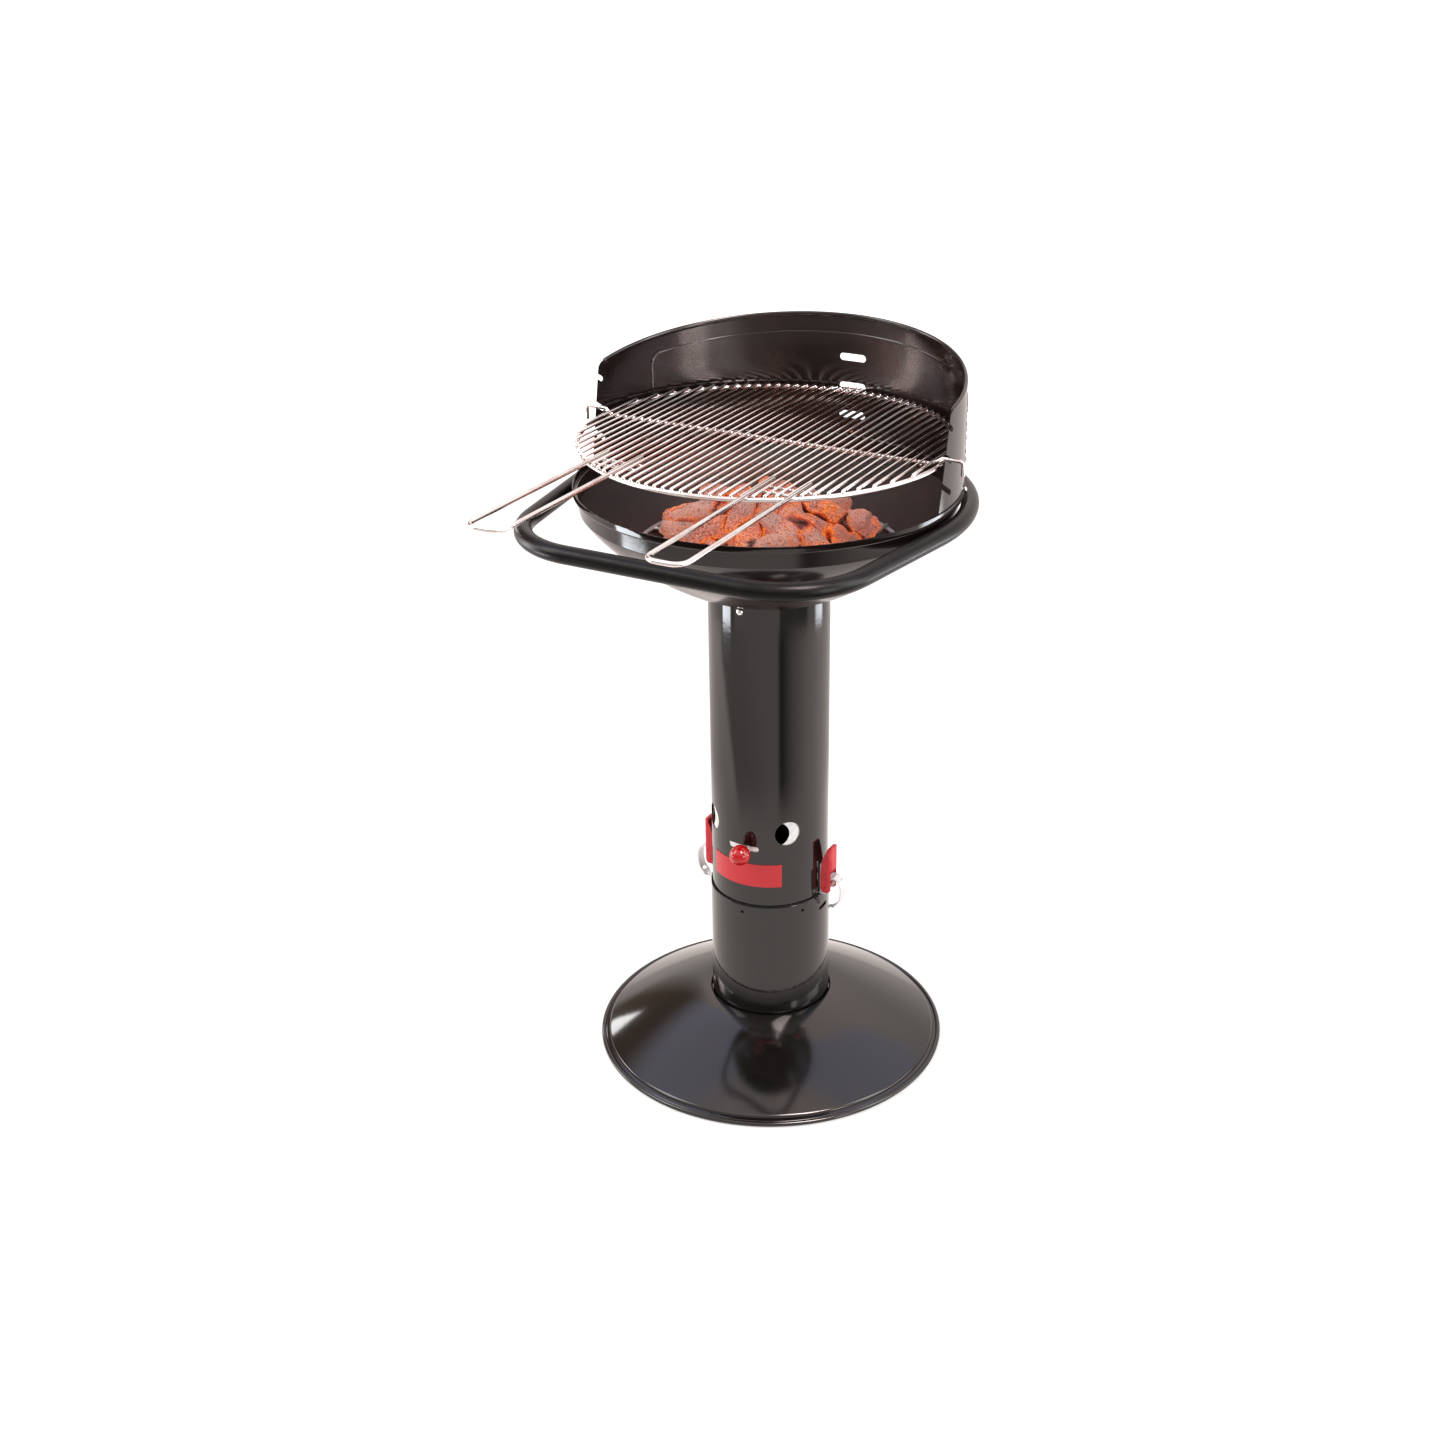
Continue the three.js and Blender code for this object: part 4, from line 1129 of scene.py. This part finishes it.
heap = {
    "seed": 23,
    "layers": [(21, 136, 14), (16, 112, 32), (9, 76, 49)],      # how many, how far out, how high
    "goldenTurn": 2.39996,      # spreads a layer's coals evenly
    "astray": 5,
    "uneven": 3,
    "length": (52, 80),
    "width": (24, 33),
    "tall": (23, 29),
    "tilt": 0.5,
    "bend": 0.85,
    "dent": (1.3, 0.24),      # how fine and how deep
    "crackle": (5, 0.08),
    "gap": (1.02, 1.62),
    "reach": 62,      # coals further off than this add no painted shade to a point
    "neighbours": 90,
}


# one coal: its points, and the middle, turn and half sizes that say where it is
def coalLump(rng, place, height):
    edit = bmesh.new()
    bmesh.ops.create_icosphere(edit, subdivisions=4, radius=1)
    size = Vector([rng.uniform(*heap[part]) / 2 for part in ("length", "width", "tall")])
    tilt = heap["tilt"]
    turn = Matrix.Rotation(rng.uniform(0, math.tau), 3, "Z")
    turn = turn @ Matrix.Rotation(rng.uniform(-tilt, tilt), 3, "Y")
    shift = Vector((rng.uniform(0, 50), rng.uniform(0, 50), rng.uniform(0, 50)))
    bend = rng.uniform(-heap["bend"], heap["bend"])
    middle = Vector((place[0], place[1], height))
    points = []
    for vert in edit.verts:
        way = vert.co.normalized()
        out = math.hypot(way.y, way.z)
        blunt = out ** -0.35 if out > 0.001 else 1
        form = Vector((math.copysign(abs(way.x) ** 0.8, way.x), way.y * blunt, way.z * blunt))
        form.y += bend * (form.x ** 2 - 0.3)
        swell = 1
        for fine, deep in (heap["dent"], heap["crackle"]):
            swell += deep * noise.noise(way * fine + shift)
        points.append(turn @ (form * size * swell) + middle)
    faces = [[vert.index for vert in face.verts] for face in edit.faces]
    edit.free()
    return Shape().add(points, faces), (middle, turn, size)


# painted light: 1 on a coal's bare top, falling to 0, painted shade, where it meets another coal
def paintedLightLevel(point, others):
    touching, clear = heap["gap"]
    nearest = clear
    for middle, turn, size in others:
        apart = point - middle
        if apart.length < heap["reach"]:
            inside = turn.transposed() @ apart
            nearest = min(nearest, Vector((inside.x / size.x, inside.y / size.y, inside.z / size.z)).length)
    return max(0, min(1, (nearest - touching) / (clear - touching)))


def coalHeap():
    rng = random.Random(heap["seed"])
    coals = sorted(name for name in frame["nodes"] if name.startswith("coal_"))
    floor = min(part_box(name)[0].z for name in coals) / mm
    astray = heap["astray"]
    made = []
    for count, radius, rise in heap["layers"]:
        for i in range(count):
            turn = i * heap["goldenTurn"] + rise
            out = radius * math.sqrt((i + 0.5) / count)
            x = out * math.cos(turn) + rng.uniform(-astray, astray)
            y = out * math.sin(turn) + rng.uniform(-astray, astray)
            made.append(coalLump(rng, (x, y), floor + rise + rng.uniform(-heap["uneven"], heap["uneven"])))
    lumps = Shape()
    paintedTopLight = []
    for lump, own in made:
        near = [other for shape, other in made if (other[0] - own[0]).length < heap["neighbours"]]
        others = [other for other in near if other is not own]
        lump.points = [Vector((p.x, p.y, max(p.z, floor))) for p in lump.points]
        lumps.plus(lump)
        paintedTopLight += [paintedLightLevel(point, others) for point in lump.points]
    piece = makePiece("coalHeap", lumps, "ember", "ember_grate", coals, sharp=75)
    finder = kdtree.KDTree(len(paintedTopLight))
    for i, point in enumerate(lumps.points):
        finder.insert(point * mm, i)
    finder.balance()
    # painted light on the bare tops and painted shade where coals meet, stored per point as "open"
    layer = piece.data.attributes.new("open", "FLOAT", "POINT")
    for vert in piece.data.vertices:
        layer.data[vert.index].value = paintedTopLight[finder.find(vert.co)[1]]


coalHeap()
print("grid, grate and coals made")

# toggle latches, drawn about the lever pivot
latch = {
    "pivot": (90.5, 257),
    "clawPivot": (3.5, 14),
    "width": 22,
    "wall": 2,
    "foot": 7.7,
    "outline": [(8.2, 14.1), (8.2, 61.5), (2.7, 61.5), (-2.2, 49.8), (-7, 32.3), (-7.7, 16.6)],
    "corner": 3,
    "window": 26.4,
    "face": 6.2,
    "lid": 59.5,
    "ridge": 5.6,
    "clear": 90,      # how far the cutters reach out of the open sides
    "leverPin": (1.8, 2.3),      # radius of the pin and of its heads
    "clawPin": (1.6, 2.1),
}
claw = {
    "sheet": 2,
    "line": [
        (2.3, 1.9), (9.3, 0.9), (15.8, -6.5), (17.3, -20), (14.4, -33.5),
        (8.5, -41.5), (4.7, -44.6), (0.9, -46.5), (-3.3, -47.4),
    ],
    "holes": [      # place, facing, wide and tall
        ((13.6, -3.4), (0.72, 0.69), 6.5, 2.2),
        ((11.8, -37.4), (0.82, -0.57), 8.5, 4.6),
    ],
    "holeDeep": 4,
    "eyeRadius": 3.4,
    "eyeHalf": 7.5,
    "wide": 15,
    "waist": (0.66, 0.8, 8),      # from and to, in shares of the length, and the width there
    "tip": (0.93, 4.5),
}
# two ears that hold the lever, on a plate against the column, and its foot
bracket = {
    "inner": 80.3,
    "sheet": 2,
    "half": 7,
    "low": 249,
    "high": 290,
    "ear": 5.2,
    "earRoot": (266, 249.5),
    "earHalf": 8.8,
    "overlap": 0.5,
    "foot": (247, 248.6),
    "footHalf": 10,
    "footOut": 9,
}


# a smooth line through all of its points
def throughPoints(points, steps=8):
    line = [Vector(p) for p in points]
    line = [line[0] * 2 - line[1]] + line + [line[-1] * 2 - line[-2]]
    smooth = []
    for a, b, c, d in zip(line, line[1:], line[2:], line[3:]):
        for i in range(steps):
            t = i / steps
            square = (2 * a - 5 * b + 4 * c - d) * t * t
            smooth.append(0.5 * (2 * b + (c - a) * t + square + (3 * b - a - 3 * c + d) * t ** 3))
    return smooth + [line[-2]]


# a bent strip of sheet whose width changes along its line
def strip(path, thickness, widthAt):
    ring = sheetLoop(path, thickness)
    count = len(ring)
    half = count // 2
    points = []
    for side in (-1, 1):
        for i, p in enumerate(ring):
            along = i if i < half else count - 1 - i
            points.append((p.x, side * widthAt(along / (half - 1)) / 2, p.y))
    faces = ringFaces(0, count, count)
    for i in range(half - 1):
        far = count - 1 - i
        faces.append([i, i + 1, far - 1, far])
        faces.append([count + i, count + far, count + far - 1, count + i + 1])
    return Shape().add(points, faces)


def clawWidth(share):
    wide = claw["wide"]
    start, end, narrow = claw["waist"]
    tip, tipWidth = claw["tip"]
    if share < start:
        return wide
    if share < end:
        ease = (share - start) / (end - start)
        return wide - (wide - narrow) * ease * ease * (3 - 2 * ease)
    return narrow if share < tip else narrow - (narrow - tipWidth) * ((share - tip) / (1 - tip)) ** 2


# a pin's head, in shares of its radius and distances from the lever's side
pinHead = [(0, -0.7), (0.6, -0.6), (1, -0.1), (1, 0.2)]


# a pin with two low heads, across the lever
def pin(radius, head, half, at):
    outline = [(head * share, out - half) for share, out in pinHead]
    outline.append((radius, outline[-1][1]))
    outline += [(r, -z) for r, z in outline[::-1]]
    made = spun(outline, 28, closed=False)
    made.points = [Vector((p.x + at[0], p.z, p.y + at[1])) for p in made.points]
    return made


# an oval cutter that goes through the claw's sheet
def ovalCutter(at, facing, wide, tall):
    out = Vector((facing[0], 0, facing[1])).normalized()
    up = Vector((-out.z, 0, out.x))
    edge = oval(wide, tall, 10)
    middle = Vector((at[0], 0, at[1]))
    rings = []
    for reach in (-claw["holeDeep"], claw["holeDeep"]):
        rings.append([middle + out * reach + Vector((0, y, 0)) + up * z for y, z in edge])
    return prism(*rings)


# a body with soft ridges along its outer face and its end, for the lever's outside and its hollow
def ridgedBody(outline, half, ridge):
    face = max(x for x, z in outline)
    end = max(z for x, z in outline)
    rows = [half - ridge * (1 - math.sin(t)) for t in [math.pi / 16 * i for i in range(9)]]
    rows = [-y for y in rows[::-1]] + rows
    points = []
    for y in rows:
        over = max(abs(y) - half + ridge, 0)
        inset = ridge - math.sqrt(max(ridge ** 2 - over ** 2, 0))
        points += [(min(x, face - inset), y, min(z, end - inset)) for x, z in outline]
    count = len(outline)
    faces = [list(range(count)), [len(points) - 1 - i for i in range(count)]]
    for k in range(len(rows) - 1):
        faces += ringFaces(k * count, (k + 1) * count, count)
    return Shape().add(points, faces)


# from the lever's pivot to its side of the column
def onColumn(shape, turn):
    return shape.moved((latch["pivot"][0], 0, latch["pivot"][1])).turned(turn)


def latchLever(name, turn):
    foot = arc((0, 0), latch["foot"], 180, 360, 16)
    corners = rounded([foot[-1]] + latch["outline"] + [foot[0]], latch["corner"], 4)[1:-1]
    outer = ridgedBody(foot + [(p.x, p.y) for p in corners], latch["width"] / 2, latch["ridge"])
    inside = latch["width"] / 2 - latch["wall"]
    clear, face, lid = latch["clear"], latch["face"], latch["lid"]
    channel = [(-clear, -clear), (face, -clear), (face, lid), (-clear, lid)]
    hollow = ridgedBody(channel, inside, latch["ridge"] - latch["wall"])
    window = block((-clear, -inside, -clear), (clear, inside, latch["window"]))
    cutters = [onColumn(hollow, turn), onColumn(window, turn)]
    lever = "lever_" + name
    makePiece("latchLever." + name, onColumn(outer, turn), "lever", lever, ["latch_lever_" + name], cutters)
    leverPin = onColumn(pin(*latch["leverPin"], latch["width"] / 2, (0, 0)), turn)
    makePiece("leverPin." + name, leverPin, "lever", "column", ["lever_pin_" + name])
    clawPin = onColumn(pin(*latch["clawPin"], latch["width"] / 2, latch["clawPivot"]), turn)
    makePiece("clawPin." + name, clawPin, "lever", lever, ["claw_pin_" + name])


def latchBracket(name, turn):
    inner = bracket["inner"]
    outer = inner + bracket["sheet"]
    footLow, footHigh = bracket["foot"]
    footHalf = bracket["footHalf"]
    pieces = block((inner, -bracket["half"], bracket["low"]), (outer, bracket["half"], bracket["high"]))
    pieces.plus(block((inner, -footHalf, footLow), (inner + bracket["footOut"], footHalf, footHigh)))
    ear = arc(latch["pivot"], bracket["ear"], -90, 90, 12)
    ear += [(outer - bracket["overlap"], z) for z in bracket["earRoot"]]
    for side in (-1, 1):
        pieces.plus(plate(ear, *sorted((side * bracket["half"], side * bracket["earHalf"]))))
    makePiece("latchBracket." + name, pieces.turned(turn), "zinc", "column", ["latch_bracket_" + name])


def latchClaw(name, turn):
    made = strip(throughPoints(claw["line"]), claw["sheet"], clawWidth)
    eye = arc((0, 0), claw["eyeRadius"], 0, 360, 24)[:-1]
    made.plus(plate(eye, -claw["eyeHalf"], claw["eyeHalf"]))
    holes = Shape()
    for hole in claw["holes"]:
        holes.plus(ovalCutter(*hole))
    for shape in (made, holes):
        onColumn(shape.moved((latch["clawPivot"][0], 0, latch["clawPivot"][1])), turn)
    makePiece("latchClaw." + name, made, "zinc", "claw_" + name, ["latch_claw_" + name], [holes], sharp=50)


for name, turn in (("right", 0), ("left", math.pi)):
    latchLever(name, turn)
    latchBracket(name, turn)
    latchClaw(name, turn)

# domed screw heads where the solids have theirs
heads = {
    "bowl": {"seat": 80.3, "radius": 4.7, "tall": 3.2},
    "screen": {"seat": 248.4, "radius": 3.4, "tall": 2.4},
}
screwStem = {"radius": 2.5, "long": 5}


def screwHead(name, node, head):
    low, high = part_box(node)
    middle = (low + high) / 2 / mm
    stem, long = screwStem["radius"], screwStem["long"]
    outline = [(0, -long), (stem, -long), (stem, 0), (head["radius"], 0)]
    outline += [(head["radius"] * x, head["tall"] * z) for x, z in arc((0, 0), 1, 0, 90, 8)[1:]]
    made = spun(outline, 32, closed=False)
    made.points = [Vector((p.x, -head["seat"] - p.z, p.y)) for p in made.points]
    made.turned(math.atan2(middle.x, -middle.y)).moved((0, 0, middle.z))
    makePiece(name, made, "wire", frame["nodes"][node]["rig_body"], [node])


for i in (1, 2, 3):
    for kind, head in heads.items():
        screwHead(f"{kind}Screw.{i}", f"{kind}_screw_{i}", head)
print("latches and screws made")

# solids that keep their shape get the finish of their kind
kept = {"base_screw": "zinc", "handle_screw": "wire", "stop_ring": "zinc"}
for name, node in frame["nodes"].items():
    for start, look in kept.items():
        if name.startswith(start):
            coat(node.data, look, 35)

# camera at the photograph's place
view = {
    "place": (1.1084, -2.1059, 1.6151),
    "turn": 27.76,
    "down": 25.36,
    "roll": -0.25,
    "lens": 49.14,
    "sensor": 36,
    "shift": -0.03445,
    "farthest": 200,
}


def setCamera():
    data = bpy.data.cameras.new("camera")
    data.lens = view["lens"]
    data.sensor_width = view["sensor"]
    data.shift_x = view["shift"]
    data.clip_end = view["farthest"]
    camera = newObject("camera", data)
    turn = Matrix.Rotation(math.radians(view["turn"]), 4, "Z")
    tip = Matrix.Rotation(math.radians(90 - view["down"]), 4, "X")
    roll = Matrix.Rotation(math.radians(view["roll"]), 4, "Z")
    camera.matrix_world = Matrix.Translation(view["place"]) @ turn @ tip @ roll
    bpy.context.scene.camera = camera


setCamera()

# what polished surfaces see: levels by the turn from the camera's side, in degrees to its right
studio = {
    "ambient": 0.55,
    "floorHalf": 60,
    "floorDrop": 0.0004,
    "floorLit": 0.78,
    "floorLift": 0.55,
    "floorTint": (1.06, 0.95, 0.9, 1),
    "near": 1.3,
    "nearEdge": (0.95, 0.7),      # the edges between the floor's zones, in metres from the axis
    "outerEdge": (1.58, 1.66),
    "distantEdge": (2.4, 2.8),
    "coolTint": (0.96, 1, 1.06, 1),
    "farFloor": [
        (-180, 0.8), (-150, 0.85), (-131, 1.05), (-112, 1.2), (-95, 1.5), (-88, 1.45), (-81, 0.62),
        (-60, 0.72), (-44, 0.8), (-20, 0.95), (0, 1.05), (14, 1), (18.5, 0.3), (22, 0.1), (27, 0.22),
        (36, 0.5), (48, 0.85), (60, 1.1), (74, 1.35), (104, 1.35), (126, 1.1), (150, 0.88),
    ],
    "outerFloor": [
        (-180, 1), (-97, 1), (-95.5, 0.7), (-94, 13), (-76.5, 13), (-75, 0.5), (-68, 0.45), (-65, 1),
        (17, 1.05), (21, 0.3), (70, 0.25), (80, 1), (92, 1), (98, 8), (112, 8), (118, 1), (150, 1),
    ],
    "horizon": [
        (-180, 1), (-140, 1), (-124, 1.2), (-113, 9), (-103, 9), (-96, 2), (-80, 0.6), (-10, 0.35),
        (14, 0.5), (28, 0.9), (37, 1.2), (40.5, 9), (46, 9), (51, 3), (60, 2), (70, 2.4), (78, 5),
        (97, 5), (106, 1.2), (150, 1),
    ],
    "darkCorner": [(-180, 0), (-163, 0), (-153, 8), (-118, 8), (-106, 0), (150, 0)],
    "blueSky": [
        (-180, 0), (-162, 0), (-146, 8), (-132, 5), (-116, 7), (-98, 2), (80, 1), (104, 5), (124, 7),
        (140, 1), (150, 0),
    ],
    "skyWarm": (1.08, 0.97, 0.92, 1),
    "skyBrown": (1.8, 1.52, 1.46, 1),
    "skyBlue": (1.4, 1.38, 1.68, 1),
    "skyDark": (0.32, 0.22, 0.16, 1),
    "overhead": {"level": 19, "side": 0.42, "wide": 0.17, "front": 0.26, "deep": 0.12, "soft": 0.03},
}
white = (1, 1, 1, 1)
bandTop = 32      # the highest level that a band can have


# a level that changes with the turn about the grill
def bandLevel(shader, east, north, bands, twist=0):
    stops = []
    for turn, level in bands:
        place = ((turn + view["turn"]) / 360 + 0.5) % 1
        stops.append((place, (level / bandTop,) * 3 + (1,)))
    turned = east.maths("ARCTAN2", east, north * -1) / math.tau + 0.5 + twist
    ramp = shader.add("ShaderNodeValToRGB", {"stops": sorted(stops)}, {"Fac": turned})
    return shader.add("ShaderNodeSeparateColor", {}, {"Color": ramp}) * bandTop


def fade(mask, first, second):
    return first * (1 - mask) + second * mask


# 1 for the rays that show the plain studio, and 1 for those that polished surfaces send
def rayMasks(shader):
    ways = shader.add("ShaderNodeLightPath").socket.node.outputs
    kinds = ("Camera", "Transmission", "Glossy")
    camera, through, glossy = [Wire(shader, ways[f"Is {kind} Ray"]) for kind in kinds]
    return camera + through, glossy


# the bright panel over the grill, by the direction in which it is seen
def overheadPanel(shader, east, north, up):
    box = studio["overhead"]
    across = east - box["side"]
    along = north + box["front"]
    inWidth = shader.between(across.maths("ABSOLUTE", across), box["wide"] + box["soft"], box["wide"])
    inDepth = shader.between(along.maths("ABSOLUTE", along), box["deep"] + box["soft"], box["deep"])
    return inWidth * inDepth * shader.between(up, 0.5, 0.55) * box["level"]


def setStudio():
    world = bpy.data.worlds.new("studio")
    bpy.context.scene.world = world
    shader = Shader(world)
    plain, glossy = rayMasks(shader)
    look = shader.add("ShaderNodeTexCoord", {}, {}, "Generated")
    east, north, up = splitVector(shader, look)
    cloud = shader.speckle(3.4, 4, 0.6, look) * 0.7 + bandLevel(shader, east, north, studio["blueSky"]) * 0.06
    cloudSky = shader.blend(shader.between(cloud, 0.44, 0.66), studio["skyBrown"], studio["skyBlue"])
    sky = shader.blend(shader.between(up, 0.3, 0.75), studio["skyWarm"], cloudSky)
    corner = bandLevel(shader, east, north, studio["darkCorner"]) / 8
    dark = corner * shader.between(up, 0.08, 0.16) * shader.between(up, 0.72, 0.5)
    low = shader.between(up, 0.34, 0.2)
    strength = fade(low, 1, bandLevel(shader, east, north, studio["horizon"]))
    strength = strength + overheadPanel(shader, east, north, up)
    flat = shader.shine("Background", white, studio["ambient"])
    seen = shader.shine("Background", white, 1)
    polished = shader.shine("Background", shader.blend(dark, sky, studio["skyDark"]), strength)
    mixed = shader.choose(glossy, shader.choose(plain, flat, seen), polished)
    shader.add("ShaderNodeOutputWorld", {}, {"Surface": mixed})


def setFloor():
    half = studio["floorHalf"]
    square = [(-half, -half), (half, -half), (half, half), (-half, half)]
    corners = [(x, y, -studio["floorDrop"]) for x, y in square]
    data = bpy.data.meshes.new("floor")
    data.from_pydata(corners, [], [(0, 1, 2, 3)])
    floor = newObject("floor", data)
    shader = newShader("paleFloor")
    plain, glossy = rayMasks(shader)
    east, north, up = splitVector(shader, shader.place())
    out = (east * east + north * north) ** 0.5
    steady = bandLevel(shader, east, north, studio["farFloor"])
    slant = out.maths("MINIMUM", out - 1.2, 0.25) * 0.16
    slanted = bandLevel(shader, east, north, studio["farFloor"], slant)
    turn = math.radians(view["turn"])
    west = shader.between(east * math.cos(turn) + north * math.sin(turn), 0.0, -0.2)
    level = fade(west, steady, slanted)
    outer = shader.between(out, *studio["outerEdge"])
    level = fade(outer, level, bandLevel(shader, east, north, studio["outerFloor"]))
    distant = shader.between(out, *studio["distantEdge"])
    level = fade(distant, level, bandLevel(shader, east, north, studio["horizon"]))
    level = fade(shader.between(out, *studio["nearEdge"]), level, studio["near"])
    lit = shader.add("ShaderNodeBsdfDiffuse", {}, {"Color": (studio["floorLit"],) * 3 + (1,)})
    lift = shader.shine("Emission", white, plain * (distant * 0.5 + studio["floorLift"]))
    both = shader.add("ShaderNodeAddShader", {}, {0: lit, 1: lift})
    cool = shader.blend(shader.between(level, 2, 5), studio["floorTint"], studio["coolTint"])
    mixed = shader.choose(glossy, both, shader.shine("Emission", cool, level))
    shader.add("ShaderNodeOutputMaterial", {}, {"Surface": mixed})
    data.materials.append(shader.owner)


# soft boxes: where each one is, what it points at, its size in metres and its power in watts
lamps = {
    "keyLight": {"place": (-2.4, -1.8, 2.6), "target": (0, 0, 0.6), "size": (1.4, 2.2), "power": 55},
    "fillLight": {"place": (2.8, 0.4, 2.0), "target": (0, 0, 0.6), "size": (1.0, 2.2), "power": 35},
    "windowLight": {
        "place": (-2.77, 1.12, 0.9),
        "target": (-0.19, -0.13, 0.01),
        "size": (0.36, 0.36),
        "power": 3.6,
    },
}


def softBox(name, setting):
    lamp = bpy.data.lights.new(name, "AREA")
    lamp.shape = "RECTANGLE"
    lamp.size, lamp.size_y = setting["size"]
    lamp.energy = setting["power"]
    box = newObject(name, lamp)
    box.location = setting["place"]
    away = Vector(setting["target"]) - Vector(setting["place"])
    box.rotation_euler = away.to_track_quat("-Z", "Y").to_euler()


setStudio()
setFloor()
for name, setting in lamps.items():
    softBox(name, setting)
scene = bpy.context.scene
scene.view_settings.view_transform = "Standard"
print("camera and studio set")

bpy.context.view_layer.update()
